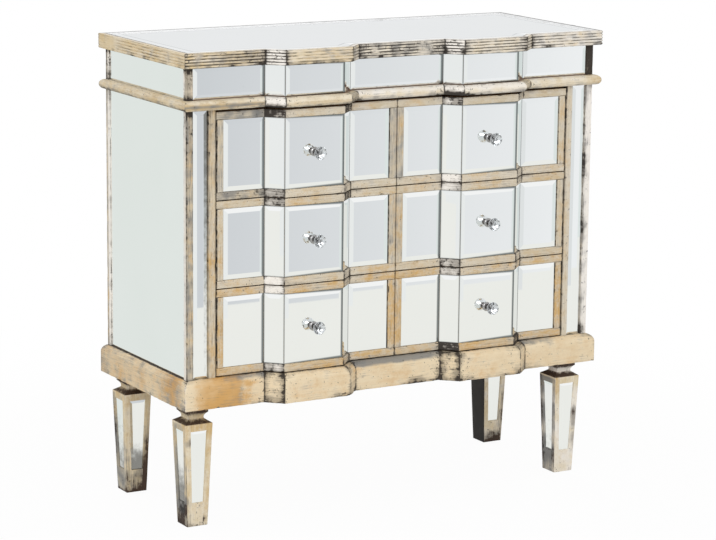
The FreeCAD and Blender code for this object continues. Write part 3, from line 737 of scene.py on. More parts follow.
plinth_seam = np.concatenate([np.zeros(15), [1, 1, 1]])


def shown_joint(i):
    """The distance along a length to the joints that show; the front corners are filled and show none."""
    def value(along, longest):
        start = 1.0 if i in (LEFT_FLAT, RIGHT_RETURN) else along
        end = 1.0 if i in (LEFT_RETURN, RIGHT_FLAT) else longest - along
        return np.minimum(start, end)[:, None]
    return value


def plinth_values(i):
    """Near cants have bare joints; ledges of the flats beside them are greyed as painted shade."""
    near = i in NEAR_CANTS
    ends = by_length(i, [(0.3, 0.8), (0.8, 0.3), (0.4, 1), (0.9, 0.3), (0.5, 0.3)], (0.2, 0.2))
    feet = by_length(i, [(0, 0.4), (0, 0.8), (0.2, 0.8), (0.3, 0.7), (0.5, 0)], (0.3, 0.3))
    # The ledges of the flats next to the blocks are greyed and darkened as painted shade.
    ledge_shade = by_length(i, [fading((0, 0.75), 0.06), nowhere, fading((0.35, -0.3), 0.15, 1.0), nowhere,
                          fading((1.0, 0), 0.06)], nowhere)
    on_foot = over_points(fading(feet, 0.04, 0.08), plinth_foot)
    on_ledge = over_points(fading((0.25, 0.3), 0.03, 0.06), plinth_ledge)
    plain_joints = fading((0.3, 0.7), 0.004, 0.15) if i in FAR_CANTS else fading((0.15, 0.3), 0.004)
    at_joints = {NEAR_CANTS[0]: fading((0.45, 0.95), 0.006, 0.12),
                 NEAR_CANTS[1]: fading((0.95, 1.0), 0.006, 0.14),
                 MIDDLE_FLAT: fading((0.3, 0.55), 0.008),
                 RIGHT_BLOCK: fading((0.55, 0.3), 0.008)}.get(i, plain_joints)

    def tarnish(along, longest):
        seam = 0.9 * plinth_seam * (i == LEFT_RETURN)
        chips = hump(along / longest, 0.72, 0.09)[:, None] * plinth_foot * (i == MIDDLE_FLAT)
        return np.clip(on_ledge(along, longest) + on_foot(along, longest) + at_joints(along, longest)
                       + chips + seam, 0, 1)

    def warmth(along, longest):
        corner = {LEFT_RETURN: longest - along, LEFT_FLAT: along}.get(i, 1.0 + along)
        glow = 0.62 * hump(along, 0.072, 0.055) * (i == LEFT_FLAT)
        glow = glow + 0.35 * hump(corner, 0.05, 0.04) * (i == LEFT_RETURN)
        base = -0.1 if near else 0.15 if i < LEFT_BLOCK else -0.05
        return (glow - 0.6 * np.exp(-corner / 0.012) + base)[:, None]

    def dust(along, longest):
        soft = np.zeros(len(along))
        # The left return's soft grey is painted shade on the side turned from the light.
        if i == LEFT_RETURN:
            soft = 0.3 + 0.2 * np.exp(-along / 0.04) + 0.15 * hump(longest - along, 0.05, 0.045)
        if i == LEFT_FLAT:
            soft = 0.3 * hump(along, 0.105, 0.035)
        ledge = plinth_wide_ledge if i == MIDDLE_FLAT else plinth_ledge
        return soft[:, None] + ledge_shade(along, longest) * ledge
    return {"ridge": plinth_ridge, "tarnish": tarnish, "warmth": warmth, "mitre": shown_joint(i),
            "dust": dust, "worn": 0.6 if near else fading(ends, 0.025, 0.15)}


gilt_piece("plinth_moulding", mitred_run(outline, plinth_profile, plinth_worn, plinth_low.z, plinth_values,
                                         uneven_wear(0.03, 3)), plinth_gilding)


# Boards and blocks. Brown-stained birch ply makes the base, waist, top, back, sides, divider and
# liners; planed beech makes the corner blocks and runners, screwed and glued inside the case.

def timber(name, pale, dark, figure, polish):
    """Planed timber: long figure drawn out along the grain, with fine pores.

    The grain runs front to back on faces that look sideways, and left to right on all others.
    """
    wood = Finish(name, {})
    place = wood.coordinates()
    facing = wood.part_of(wood.coordinates("Normal"), "X")
    sideways = facing.math("ABSOLUTE", facing, 0).ease(0.4, 0.6)
    across = wood.stretch(place, (3, 42, 42))
    lengthways = wood.stretch(place, (42, 3, 42))
    grain = wood.add("ShaderNodeMix", {"data_type": "VECTOR"}, {0: sideways, 4: across, 5: lengthways}, 1)
    growth = wood.noise(grain, figure, 4)
    pores = wood.noise(wood.stretch(grain, (7, 7, 7)), figure, 2)
    shares = growth.ease(0.32, 0.7) * 0.8 + pores.ease(0.55, 0.7) * 0.2
    wood.set({"Base Color": wood.blend(shares, pale, dark), "Roughness": polish + growth * 0.15,
              "Normal": wood.bump(pores, 0.0002, 0.35)})
    return wood.material


stained_board = timber("stained_board", shade(146, 112, 80), shade(102, 74, 51), 1.0, 0.5)
planed_beech = timber("planed_beech", shade(203, 166, 125), shade(174, 132, 92), 1.3, 0.4)
dress(["base_board", "side_panels", "back_panel", "centre_divider", "bay_liners", "waist_board",
       "frieze_rails", "top_board"], stained_board)
dress(["corner_blocks", "drawer_runners"], planed_beech)


# Side mirrors and pilasters. One tall bevelled plate on each side, in a rebate of the corner strips,
# and a narrow plate sunk in the groove of each front stile.

COLUMNS = {"left": -1, "right": 1}
side_bevel = 0.018
pane_bevel = 0.009
bevel_edge = 0.94


def plate_over(low, high, towards, bevel, fog=0.0):
    """A rectangular plate that fills a box, with its bevelled face on the side it looks to."""
    axis = int(np.argmax(np.abs(towards)))
    wide, tall = [other for other in range(3) if other != axis]
    face = high[axis] if sum(towards) > 0 else low[axis]

    def corners(sunk, inset):
        """The corners of the plate's outline, sunk below its face and drawn in."""
        points = np.empty((4, 3))
        points[:, axis] = face - sunk * sum(towards)
        points[:, wide] = np.array([low[wide] + inset, high[wide] - inset])[[0, 1, 1, 0]]
        points[:, tall] = np.array([low[tall] + inset, high[tall] - inset])[[0, 0, 1, 1]]
        return points

    levels = [corners(glass_thickness, 0), corners(bevel_depth, 0),
              corners((1 - bevel_edge) * bevel_depth, bevel_edge * bevel), corners(0, bevel)]
    return glass_patch(levels, fog=fog)


for column, hand in COLUMNS.items():
    node = column + "_side_mirror"
    glass_piece(node + "_plate", [plate_over(*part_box(node), (hand, 0, 0), side_bevel)], node)

pilaster_low, pilaster_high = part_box("pilaster_mirrors")
pilaster_inner = np.abs(node_points("pilaster_mirrors")[:, 0]).min()
# The left pilaster's plate is greyed over its right-hand bevel, most at the top: painted shade from the
# groove wall beside it.
pilaster_bevel_shade = {-1: np.outer([1, 1, 1, 0], [-2, 0.2, 1.0, -6]), 1: 0.0}
pilaster_plates = []
for hand in COLUMNS.values():
    near, far = sorted((hand * pilaster_inner, hand * pilaster_high.x))
    pilaster_plates.append(plate_over((near, pilaster_low.y, pilaster_low.z),
                                      (far, pilaster_high.y, pilaster_high.z), (0, -1, 0), pane_bevel,
                                      pilaster_bevel_shade[hand]))
glass_piece("pilaster_plates", pilaster_plates, "pilaster_mirrors")


# Front stiles and back posts. Gilded poplar uprights, glued to the side panels: each front stile has
# two flat strips with a groove between them for the pilaster mirror. The walls of the groove and of
# the gaps beside the stiles are darkened as painted shade.

rail_gilding = gilding("rail_gilding", shade(208, 194, 168), shade(210, 172, 112), shade(222, 213, 196),
                       streak=0.5, speck=-0.02)
edge_ease = 0.0008
worn_ease = 0.0026


def eased(corners, radius, rounded, steps=3):
    """A closed profile with some corners rounded by a parabola, and how much each point is a ridge.

    The parabola runs from a radius before the corner to a radius after it. Hollow corners count as
    grooves; corners that aren't rounded are single points.
    """
    corners = np.array(corners, float)
    rounded = np.array(rounded, bool)
    before = np.roll(corners, 1, axis=0) - corners
    after = np.roll(corners, -1, axis=0) - corners
    turn = np.sign(before[:, 0] * after[:, 1] - before[:, 1] * after[:, 0])
    area = np.sum(corners[:, 0] * np.roll(corners[:, 1], -1) - np.roll(corners[:, 0], -1) * corners[:, 1])
    before *= (radius * rounded / np.linalg.norm(before, axis=1))[:, None]
    after *= (radius * rounded / np.linalg.norm(after, axis=1))[:, None]
    share = np.linspace(0, 1, steps)[:, None]
    points = corners[:, None] + (1 - share) ** 2 * before[:, None] + share ** 2 * after[:, None]
    bulge = 4 * share[:, 0] * (1 - share[:, 0]) * (-turn * np.sign(area) * rounded)[:, None]
    kept = rounded[:, None] | (np.arange(steps) == 0)
    return points[kept], bulge[kept]


def each_point(numbers, rounded, steps=3):
    """Numbers of a profile's corners, repeated for the points that eased gives each."""
    return np.repeat(np.array(numbers, float), np.where(rounded, steps, 1))


def upright_length(corners, rounded, wall_shade, low, high, lay_from, seed, worn, tarnish, warmth, dust=0.0):
    """A vertical length with a plan outline whose outer edges are eased, and knocked off in places.

    walls is the painted shade that each corner has besides, darkening the walls of grooves and gaps.
    """
    fresh, ridge = eased(corners, edge_ease, rounded)
    knocked, _ = eased(corners, worn_ease, rounded)
    stained = over_points(tarnish, 1.0, each_point(wall_shade, rounded))

    def ends(loop):
        """The outline at the two ends of the length."""
        return at_height(loop, low), at_height(loop, high)

    return length_patch(ends(fresh), ends(knocked), uneven_wear(0.04, seed, -0.3),
                        {"ridge": ridge, "worn": worn, "tarnish": stained, "warmth": warmth,
                         "dust": dust, "mitre": 1.0}, length_step, lay_from)


strip_width = 0.014
side_strip = 0.012
gap_shade = 0.003
stile_back = stile_high.y
stile_edge = stile_low.x
groove_bottom = pilaster_high.y
panel_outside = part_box("side_panels")[1].x
groove_in, groove_out = stile_edge + strip_width, case_side - strip_width
rebate = case_front + side_strip
stile_plan = np.array([
    (stile_edge, case_front), (stile_edge + gap_shade, case_front), (groove_in - gap_shade, case_front),
    (groove_in, case_front), (groove_in, groove_bottom), (groove_out, groove_bottom),
    (groove_out, case_front), (groove_out + gap_shade, case_front), (case_side - gap_shade, case_front),
    (case_side, case_front), (case_side, case_front + gap_shade), (case_side, rebate),
    (panel_outside, rebate), (panel_outside, stile_back), (stile_edge, stile_back),
    (stile_edge, case_front + gap_shade)])
stile_rounded = [1, 0, 0, 1, 0, 0, 1, 0, 0, 1, 0, 1, 0, 0, 0, 0]
stile_rubbed = {"left": [0.1, 0.1, 0.1, 0.1, 0, 0, 0.1, 0.1, 0.1, 0.2, 0.4, 0.5, 0, 0, 0, 0.1],
                "right": [0.2, 0.35, 0.45, 0.4, 0, 0, 0.3, 0.3, 0.4, 0.4, 0.4, 0.4, 0, 0, 0, 0.1]}
stile_warmth = {"left": [0.1, 0.1, 0.1, 0.05, 0, 0, 0.1, 0.1, 0.05, 0, -0.5, -0.6, -0.6, 0, 0, 0.1],
                "right": [0.05, 0, -0.15, -0.25, 0, 0, -0.7, -0.75, -0.8, -0.8, -0.8, -0.8, 0, 0, 0, 0.2]}
# These darken each stile's groove walls and the gap beside it as painted shade.
stile_wall_shade = {"left": [0.3, 0.05, 0.1, 0.25, 0.6, 0.6, 0.3, 0.12, 0.14, 0.5, 0.05, 0, 0.9, 0, 1, 1],
               "right": [0.5, 0.02, 0, 0.1, 0.8, 0.8, 0.3, 0, 0, 0, 0, 0, 0.8, 0, 1, 1]}
stile_dust = {"left": [0, 0, 0, 0, 0, 0, 0.5, 0.4, 0.48, 0.4, 0.1, 0, 0, 0, 0, 0],
              "right": [0, 0, 0, 0, 0, 0, 0.4, 0.3, 0.2, 0.1, 0, 0, 0, 0, 0, 0]}
stile_grime = {"left": fading((0.02, 0.3), 0.12, 0.04), "right": fading((0.1, 0.2), 0.05, 0.02)}
stile_black_top = {"left": [0, 0, 0, 0, 0, 0, 1.2, 1.2, 1.2, 1.2, 0, 0, 0, 0, 0, 0],
                   "right": [0.9] + [0] * 15}
stile_marks = {"left": [], "right": [(0.69, 0.055, 0.7), (0.41, 0.06, 0.5), (0.02, 0.025, 0.8)]}
stile_marked = [0, 0, 0, 0, 0, 0, 1, 0.65, 0.1, 0, 0, 0, 0, 0, 0, 0]
black_reach = 0.009


def blackened(grime_and_shade, top, marks, spread):
    """Grime along an upright whose top end is bare and black by each point's share, with marks lower down.

    A mark has its middle and its reach as shares of the length, and its strength.
    """
    def value(along, longest):
        total = grime_and_shade(along, longest) + hump(along, longest, black_reach)[:, None] * top
        for middle, reach, strength in marks:
            total = total + strength * hump(along / longest, middle, reach)[:, None] * spread
        return total
    return value


def on_stile(numbers):
    """A stile's numbers, one for each point of its eased outline."""
    return each_point(numbers, stile_rounded)


for column, hand in COLUMNS.items():
    stile = upright_length(stile_plan * np.array([hand, 1]), stile_rounded, stile_wall_shade[column],
                           stile_low.z, stile_high.z, lay_from=3.1 * (hand + 2), seed=11 + hand,
                           worn=over_points(fading((0.5, 0.5), 0.03, 1), on_stile(stile_rubbed[column])),
                           tarnish=blackened(stile_grime[column], on_stile(stile_black_top[column]),
                                             stile_marks[column], on_stile(stile_marked)),
                           warmth=on_stile(stile_warmth[column]),
                           dust=on_stile(stile_dust[column]))
    gilt_piece(column + "_front_stile", [stile], rail_gilding)


CORNER_ROUNDED = [1, 1, 1, 0, 0, 0]
# These darken the rebate and the inner edge of a corner strip as painted shade.
CORNER_WALL_SHADE = [0.2, 0.35, 0.0, 0.8, 0, 0.8]
CORNER_WARMTH = [0.0, 0.0, -0.8, -0.8, 0, 0]


def corner_strip(hand, edge, inwards, depth, low, high, lay_from, worn, tarnish):
    """A corner strip, rebated behind for the edge of the side glass. Its side is rubbed to silver."""
    inner = case_side - strip_width
    rebate = edge + inwards * side_strip
    end = edge + inwards * depth
    corners = np.array([(inner, edge), (case_side, edge), (case_side, rebate), (panel_outside, rebate),
                        (panel_outside, end), (inner, end)]) * np.array([hand, 1])
    return upright_length(corners, CORNER_ROUNDED, CORNER_WALL_SHADE, low, high, lay_from, int(20 + lay_from),
                          worn, tarnish, each_point(CORNER_WARMTH, CORNER_ROUNDED))


post_low, post_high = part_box("back_posts")
case_back = post_high.y
post_depth = post_high.y - post_low.y
gilt_piece("back_posts",
           [corner_strip(hand, case_back, -1, post_depth, post_low.z, post_high.z, 7 + hand,
                         fading((0.5, 0.5), 0.03, 0.1), fading((0.2, 0.3), 0.02, 0.1))
            for hand in COLUMNS.values()], rail_gilding)


# Drawer boxes. Pale poplar sides grooved for the runners, a back, a bottom in slots and a front board
# with the block glued to it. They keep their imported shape.

drawer_timber = timber("drawer_timber", shade(224, 194, 152), shade(196, 158, 112), 1.1, 0.45)
ROWS = ("bottom", "middle", "top")
drawers = {column + "_" + row + "_drawer": hand for column, hand in COLUMNS.items() for row in ROWS}
dress([drawer + "_box" for drawer in drawers], drawer_timber)


# Drawer frames. Thin gilded poplar round each front: rails in five mitred lengths that follow the
# block, top and bottom, with an upright between them at each end, and a chamfer towards the glass.
# The walls of the gaps round each frame, and the chamfers of the lower rails, are darkened as
# painted shade.

frame_width = 0.015
frame_chamfer = 0.002
frame_thickness = 0.006
frame_step = 0.003
frame_section = [(frame_thickness, 0), (gap_shade, 0), (0, 0), (0, gap_shade),
                 (0, frame_width - frame_chamfer), (frame_chamfer, frame_width),
                 (frame_thickness, frame_width)]
frame_rounded = [0, 0, 1, 0, 1, 1, 0]
upright_rounded = [1, 0, 1, 1, 0, 0, 0]
UPPER, LOWER = 0, 1
# These darken the gap walls, and the chamfers of the lower rails, as painted shade.
frame_wall_shade = {UPPER: [0.8, 0.6, 0.12, 0.03, 0.02, 0.05, 0.2],
               LOWER: [0.8, 0.6, 0.12, 0.03, 0.05, 0.35, 0.6]}
upright_wall_shade = {("left", "inner"): [0.15, 0.03, 0.05, 0.8, 0.9, 0.6, 0.4],
                 ("left", "outer"): [0.8, 0.03, 0.05, 0.1, 0.5, 1, 1],
                 ("right", "inner"): [0.15, 0.03, 0.05, 0.1, 0.5, 0.6, 0.4],
                 ("right", "outer"): [0.7, 0.03, 0.05, 0.6, 0.8, 1, 1]}
row_warmth = {"bottom": 0.4, "middle": 0.08, "top": -0.12}
LEFT_RAIL, NEAR_CANT, BLOCK_RAIL, FAR_CANT, RIGHT_RAIL = range(5)
BLACK_CANT = 1.0
drawer_wear = {
    "left_top_drawer": {"near": (1.1, 0.5), "far": (0.7, 0.3), "flat": (0.2, 0.3), "dust": (0.58, 0.4),
                        "inner": 0.45, "outer": 0.35},
    "left_middle_drawer": {"near": (0.5, 0.1), "far": (0.7, 0.3), "flat": (0.12, 0.03), "inner": 0.32},
    "left_bottom_drawer": {"near": (0.08, 0.38), "inner": 0.12},
    "right_top_drawer": {"near": (0.55, 0.12), "flat": (0.03, 0.15), "inner": 0.42},
    "right_middle_drawer": {"near": (0.14, 0.42), "inner": 0.3},
    "right_bottom_drawer": {"near": (0.4, 1.3), "far": (0.3, 0.7), "inner": 0.12}}
plain_wear = {"far": (0.3, 0.3), "flat": (0.03, 0.03), "dust": (0.0, 0.0), "inner": 0.0, "outer": 0.0}


def rail_values(drawer, rail, seed):
    """Wear of a rail's lengths: silver with bare joints on the cants, fading beside them.

    near, far and flat are the tarnish of the cants and the left flat, and dust lies on that flat.
    A cant above BLACK_CANT is blackened; on the top-left drawer's upper rail that is painted shadow
    under the waist.
    """
    wear = {**plain_wear, **drawer_wear[drawer]}
    mottled = {NEAR_CANT: wear["near"][rail], FAR_CANT: wear["far"][rail]}
    row = row_warmth[drawer.split("_")[1]]
    spots = np.random.default_rng(seed).uniform(0.0, 0.3, 5)
    wall_shade = each_point(frame_wall_shade[rail], frame_rounded)
    first_grime = {LEFT_RAIL: wear["flat"][rail], **mottled}

    def values(i):
        """What the mesh carries on one length."""
        ends = {LEFT_RAIL: (0, 0.6), BLOCK_RAIL: (0.5, 0.4), RIGHT_RAIL: (0.5, 0)}.get(i, (0, 0))
        stain_and_shade = (0.35, 0.6) if i in mottled else (0.3 * ends[0], 0.4 * ends[1])
        grime_and_shade = fading(stain_and_shade, 0.004 if i in mottled else 0.012, first_grime.get(i, 0.03))
        if mottled.get(i, 0) > BLACK_CANT:
            grime_and_shade = fading((0.8, 0.1), 0.02, 0.5)
        return {"ridge": section_ridge, "tarnish": over_points(grime_and_shade, 1.0, wall_shade),
                "worn": 0.6 if i in mottled else fading(ends, 0.02, spots[i]),
                "dust": wear["dust"][rail] if i == LEFT_RAIL else 0.0,
                "warmth": -1.0 if i == NEAR_CANT else row}
    return values


def drawer_line(hand, inner, outer, recess=0.0):
    """The front line between the ends of a drawer; a left-hand one is turned over across the middle."""
    def line(forward):
        right_hand = block_line(forward - recess, block_centre, inner, outer)
        return right_hand if hand > 0 else right_hand[::-1] * np.array([-1, 1])
    return line


section, section_ridge = eased(frame_section, edge_ease, frame_rounded)
knocked_section, _ = eased(frame_section, worn_ease, frame_rounded)
for order, (drawer, hand) in enumerate(drawers.items()):
    low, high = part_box(drawer + "_frame")
    inner, outer = sorted((abs(low.x), abs(high.x)))
    lengths = []
    for rail, bottom, up, seed, wear_seed in ((LOWER, low.z, 1, 200, 60), (UPPER, high.z, -1, 300, 80)):
        facing = np.array([1, up])
        lengths += mitred_run(drawer_line(hand, inner, outer), section * facing, knocked_section * facing,
                              bottom, rail_values(drawer, rail, seed + order),
                              uneven_wear(0.03, wear_seed + order, -0.3), frame_step, closed=False)
    column, row = drawer.split("_")[:2]
    for place, edge, inwards in (("inner", inner, 1), ("outer", outer, -1)):
        inside = edge + inwards * frame_width
        corners = np.array([(edge, case_front), (edge + inwards * gap_shade, case_front),
                            (inside - inwards * frame_chamfer, case_front),
                            (inside, case_front + frame_chamfer), (inside, case_front + frame_thickness),
                            (edge, case_front + frame_thickness), (edge, case_front + gap_shade)])
        lengths.append(upright_length(corners * np.array([hand, 1]), upright_rounded,
                                      upright_wall_shade[column, place],
                                      low.z + frame_width, high.z - frame_width,
                                      lay_from=order + inwards * 0.4, seed=100 + order,
                                      worn=fading((0.3, 0.3), 0.015, 0.1),
                                      tarnish=fading((0.1, 0.1), 0.01, 0.04), warmth=row_warmth[row],
                                      dust={**plain_wear, **drawer_wear[drawer]}[place]))
    gilt_piece(drawer + "_frame", lengths, rail_gilding, drawer)


# Drawer mirrors. Five bevelled panes a drawer, mitred where they meet at the cants, laid into the
# gilt frame; the middle one is drilled for the knob.

pane_joint = 0.0004
pane_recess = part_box("right_top_drawer_mirrors")[0].y - block_front
# Broad and plain starts widen the dark joint on the right-hand bevel of flats and blocks into a painted
# dark reflection; fine ones give the joint alone.
BROAD_JOINT_SHADE, PLAIN_JOINT_SHADE, FINE_JOINT = -0.0042, -0.0030, 0.0
joint_starts = ((CLEAR_OF_JOINTS, BROAD_JOINT_SHADE), (FINE_JOINT, FINE_JOINT), (FINE_JOINT, PLAIN_JOINT_SHADE),
                (FINE_JOINT, CLEAR_OF_JOINTS))


def run_panes(line, bottom, top, bevel):
    """Bevelled panes on every stretch of a plan line; line(forward) is the line in front of the glass."""
    def stretches(points, amount):
        """The start and end of each stretch between plan points, with both ends drawn in."""
        start, end = points[:-1], points[1:]
        step = (end - start) / np.linalg.norm(end - start, axis=1)[:, None] * amount
        return start + step, end - step

    def upright(forward, inset, low, high):
        """Corners of upright rectangles over the stretches."""
        start, end = stretches(line(forward), pane_joint + inset)
        plan = np.stack([start, end, end, start], axis=1)
        rise = np.broadcast_to(np.array([low, low, high, high]), plan.shape[:2])
        return np.concatenate([plan, rise[..., None]], axis=2)

    low, high = bottom + pane_joint, top - pane_joint
    stacks = np.stack([upright(-glass_thickness, 0, low, high), upright(-bevel_depth, 0, low, high),
                       upright(0, bevel, low + bevel, high - bevel)], axis=1)
    panes = []
    for i, rings in enumerate(stacks):
        left, right = joint_starts[i % len(joint_starts)]
        left = CLEAR_OF_JOINTS if i == 0 else left
        right = CLEAR_OF_JOINTS if i == len(stacks) - 1 else right
        at_edge = np.array([left, right, right, left])
        panes.append(glass_patch(rings, np.stack([at_edge, at_edge, at_edge + bevel])))
    return panes


for drawer, hand in drawers.items():
    low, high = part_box(drawer + "_frame")
    inner, outer = sorted((abs(low.x), abs(high.x)))
    pane_line = drawer_line(hand, inner + frame_width, outer - frame_width, pane_recess)
    panes = run_panes(pane_line, low.z + frame_width, high.z - frame_width, pane_bevel)
    glass_piece(drawer + "_panes", panes, drawer + "_mirrors", drawer)


# Knobs. Cut and polished lead crystal, glued on a turned stem of darkened nickel with a small
# rosette; a threaded shank runs through the glass into the block. Alternate facets at the front of
# each stone are darkened as a painted reflection of the dark stem.

crystal = Finish("cut_crystal", {"Roughness": 0.06, "IOR": 1.25, "Transmission Weight": 0.87})
tinge = crystal.noise(crystal.coordinates(), 60)
clear = crystal.blend(tinge, shade(236, 239, 241), shade(246, 248, 249))
foiled = crystal.blend(crystal.attribute("foil"), clear, shade(234, 236, 238))
# Alternate front facets take a dark grey: painted reflection of the dark stem.
dark_facets = crystal.attribute("arm").ease(0.35, 0.8)
crystal.set({"Base Color": crystal.blend(dark_facets, foiled, shade(60, 59, 62)),
             "Metallic": crystal.attribute("foil").ease(0.5, 0.6)})
nickel = Finish("dark_nickel", {})
tone = nickel.noise(nickel.coordinates(), 380, 3)
turned = nickel.attribute("turned")
tarnished = nickel.blend(tone.ease(0.35, 0.65), shade(58, 56, 57), shade(120, 116, 115))
nickel.set({"Base Color": nickel.blend(turned, shade(252, 253, 253), tarnished),
            "Metallic": turned * 0.6 + 0.4, "Roughness": tone * 0.2 + 0.14})

KNOB_SIDES = 12
STEM_SIDES = 32
stem_foot = 0.010
facet_radii = (0.005, 0.0094, 0.0125, 0.0125, 0.0106, 0.0072)
facet_reach = (0.0035, 0.0072, 0.0102, 0.0128, 0.0176, 0.022)
facet_twist = (0.0, 0.5, 0.0, 0.0, 0.5, 0.0)
facet_stem_reflection = np.array([0, 0, 0, 0.6, 1, 0])
facet_foil = np.array([1, 1, 1, 0, 0, 0])
stem_radii = (0.002, 0.002, 0.0086, 0.0090, 0.0084, 0.0064, 0.0050, 0.0046, 0.0050, 0.0060, 0.0060)
stem_reach = (-0.024, 0.0, 0.0, 0.0008, 0.0018, 0.0026, 0.003, 0.0075, 0.0115, 0.0126, 0.0138)
stem_turned = np.array([0.7, 0.7, 0.7, 0.7, 0.7, 0.8, 1, 1, 1, 0.8, 0.8])


def knob_ring(centre, radius, y, sides, twist):
    """A ring of points round the knob's axis, which runs front to back."""
    turn = 2 * np.pi * (np.arange(sides) + twist) / sides
    return np.column_stack([centre[0] + radius * np.cos(turn), np.full(sides, y),
                            centre[1] + radius * np.sin(turn)])


def facet_patch(rings):
    """A cut stone: rings of equal count joined by triangles, so that turned rings give kite facets; some
    front facets are darkened as a painted reflection of the stem.
    """
    dark_facets = np.outer(facet_stem_reflection, np.arange(KNOB_SIDES) % 2)
    patch = tube_patch(rings, {"arm": dark_facets, "foil": facet_foil[:, None]}, np.arange(len(rings)) * 0.01)
    quads = patch["faces"]
    return {**patch, "faces": np.concatenate([quads[:, [0, 1, 2]], quads[:, [0, 2, 3]]]),
            "lay": np.zeros((len(quads) * 6 + 2 * KNOB_SIDES, 2))}


for drawer in drawers:
    low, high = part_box(drawer + "_knob")
    seat = high.y
    face = seat + stem_foot
    centre = ((low.x + high.x) / 2, (low.z + high.z) / 2)
    stone = np.array([knob_ring(centre, radius, seat - reach, KNOB_SIDES, twist)
                      for radius, reach, twist in zip(facet_radii, facet_reach, facet_twist)])
    mesh_piece(drawer + "_crystal", [facet_patch(stone)], crystal.material, drawer,
               [drawer + "_knob"], crease=1)
    stem = np.array([knob_ring(centre, radius, face - reach, STEM_SIDES, 0)
                     for radius, reach in zip(stem_radii, stem_reach)])
    stem = tube_patch(stem, {"turned": stem_turned[:, None]}, np.arange(len(stem)) * 0.002)
    mesh_piece(drawer + "_stem", [stem], nickel.material, drawer, [drawer + "_knob_base"],
               crease=40)


# Waist moulding. Half-round gilded poplar nosing in mitred lengths round the waist board, over the
# drawers. Its lower half is darkened towards the underside as painted shade.

waist_gilding = gilding("waist_gilding", shade(224, 208, 178), shade(206, 182, 140), shade(238, 228, 208),
                        streak=0.45, speck=0.0)
waist_low, waist_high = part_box("waist_moulding")
waist_half = (waist_high.z - waist_low.z) / 2
waist_depth = 0.014
turn = np.linspace(-np.pi / 2, np.pi / 2, 17)
half_round = np.stack([waist_half * (1 - np.cos(turn)), waist_half * (1 + np.sin(turn))], axis=1)
waist_profile = np.concatenate([[(waist_depth, 0)], half_round, [(waist_depth, 2 * waist_half)]])
waist_worn = waist_profile.copy()
waist_worn[:, 0] = np.maximum(waist_worn[:, 0], 0.0012)
waist_ridge = np.concatenate([[-1], np.clip(2.2 * np.cos(turn) - 1.2, -0.2, 0.4), [-0.2]])
# This darkens the lower half of the nosing towards its underside as painted shade.
waist_underside_shade = np.concatenate([[1], np.clip(-np.sin(turn) * 1.15 + 0.12, 0, 1), [0]])
waist_belly = np.concatenate([[0], hump(turn, -0.15, 0.45), [0]])


def waist_values(i):
    """Near cants are silvery with specks; elsewhere the belly is left golden, the rest rubbed pale, and the
    underside darkened as painted shade.
    """
    near = i in NEAR_CANTS
    on_left, second = i == LEFT_RETURN, i == NEAR_CANTS[1]
    ends = by_length(i, [(0, 0.6), (0.6, 0.3), (0.5, 0.6), (0.8, 0.3), (0.3, 0)], (0, 0))
    elsewhere = {LEFT_RETURN: 0.6, NEAR_CANTS[0]: 0.75, NEAR_CANTS[1]: 0.95}.get(i, 0.35)
    under = by_length(i, [0.3, 0.4, 0.35, 0.35, 0.25], elsewhere)
    stained = by_length(i, [(0, 0.5), (0.2, 0.3), (0.6, 0.6), (0.9, 0.2), (0.25, 0.25)],
                        (0.6, 0.6) if second else (0.25, 0.25))
    tone = by_length(i, [0.0, -0.15, -0.5, -0.5, -0.25], 0.1 if on_left else 0.15)
    belly = waist_belly * by_length(i, [0.8, 0.5, 0.3, 0.2, 0.2], 0.15 if on_left else 0.0)
    mottled = 0.35 if i in FAR_CANTS else 0.3 if second else 0.0
    return {"ridge": waist_ridge,
            "worn": 0.5 if near else fading(ends, 0.03, 0.12),
            "tarnish": over_points(fading(stained, 0.02, under), waist_underside_shade, mottled),
            "dust": belly * (1.0 if i == LEFT_FLAT else 0.3) + 0.2 * on_left,
            "warmth": belly + (-0.7 if near else tone)}


gilt_piece("waist_moulding", mitred_run(outline, waist_profile, waist_worn, waist_low.z, waist_values,
                                        uneven_wear(0.025, 5)), waist_gilding)


# Frieze. A fixed band under the top: bevelled panes on the front and sides, mitred at the cants, with
# gilded strips at the four corners, rubbed down almost to the bole.

frieze_low, frieze_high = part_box("frieze_corner_strips")
front_strip_depth = 0.022
frieze_bare = {-1: fading((1.3, 1.5), 0.006, 0.02), 1: fading((0.1, 1.5), 0.02, 0.5)}
strip_wear = fading((0.9, 0.9), 0.012, 0.5)
frieze_strips = []
for hand in COLUMNS.values():
    frieze_strips.append(corner_strip(hand, case_front, 1, front_strip_depth, frieze_low.z, frieze_high.z,
                                      11 + hand, strip_wear, frieze_bare[hand]))
    frieze_strips.append(corner_strip(hand, case_back, -1, post_depth, frieze_low.z, frieze_high.z,
                                      15 + hand, strip_wear, fading((0.4, 0.4), 0.008, 0.3)))
mesh_piece("frieze_strips_gilded", frieze_strips, rail_gilding, "carcass", ["frieze_corner_strips"])


def frieze_line(forward):
    """The front line between the corner strips."""
    return front_line(forward - pane_recess, case_side - strip_width)


frieze_panes = run_panes(frieze_line, frieze_low.z, frieze_high.z, pane_bevel)
side_glass_low, side_glass_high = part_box("right_side_mirror")
for hand in COLUMNS.values():
    near, far = sorted((hand * side_glass_low.x, hand * side_glass_high.x))
    frieze_panes.append(plate_over((near, side_glass_low.y, frieze_low.z + pane_joint),
                                   (far, side_glass_high.y, frieze_high.z - pane_joint),
                                   (hand, 0, 0), pane_bevel))
glass_piece("frieze_panes", frieze_panes, "frieze_mirrors")


# Top. Reeded gilded moulding in mitred lengths stands round the top board and the bevelled mirror
# plate that lies on it. The reeds are worn smooth in patches and hold dirt in the rest.

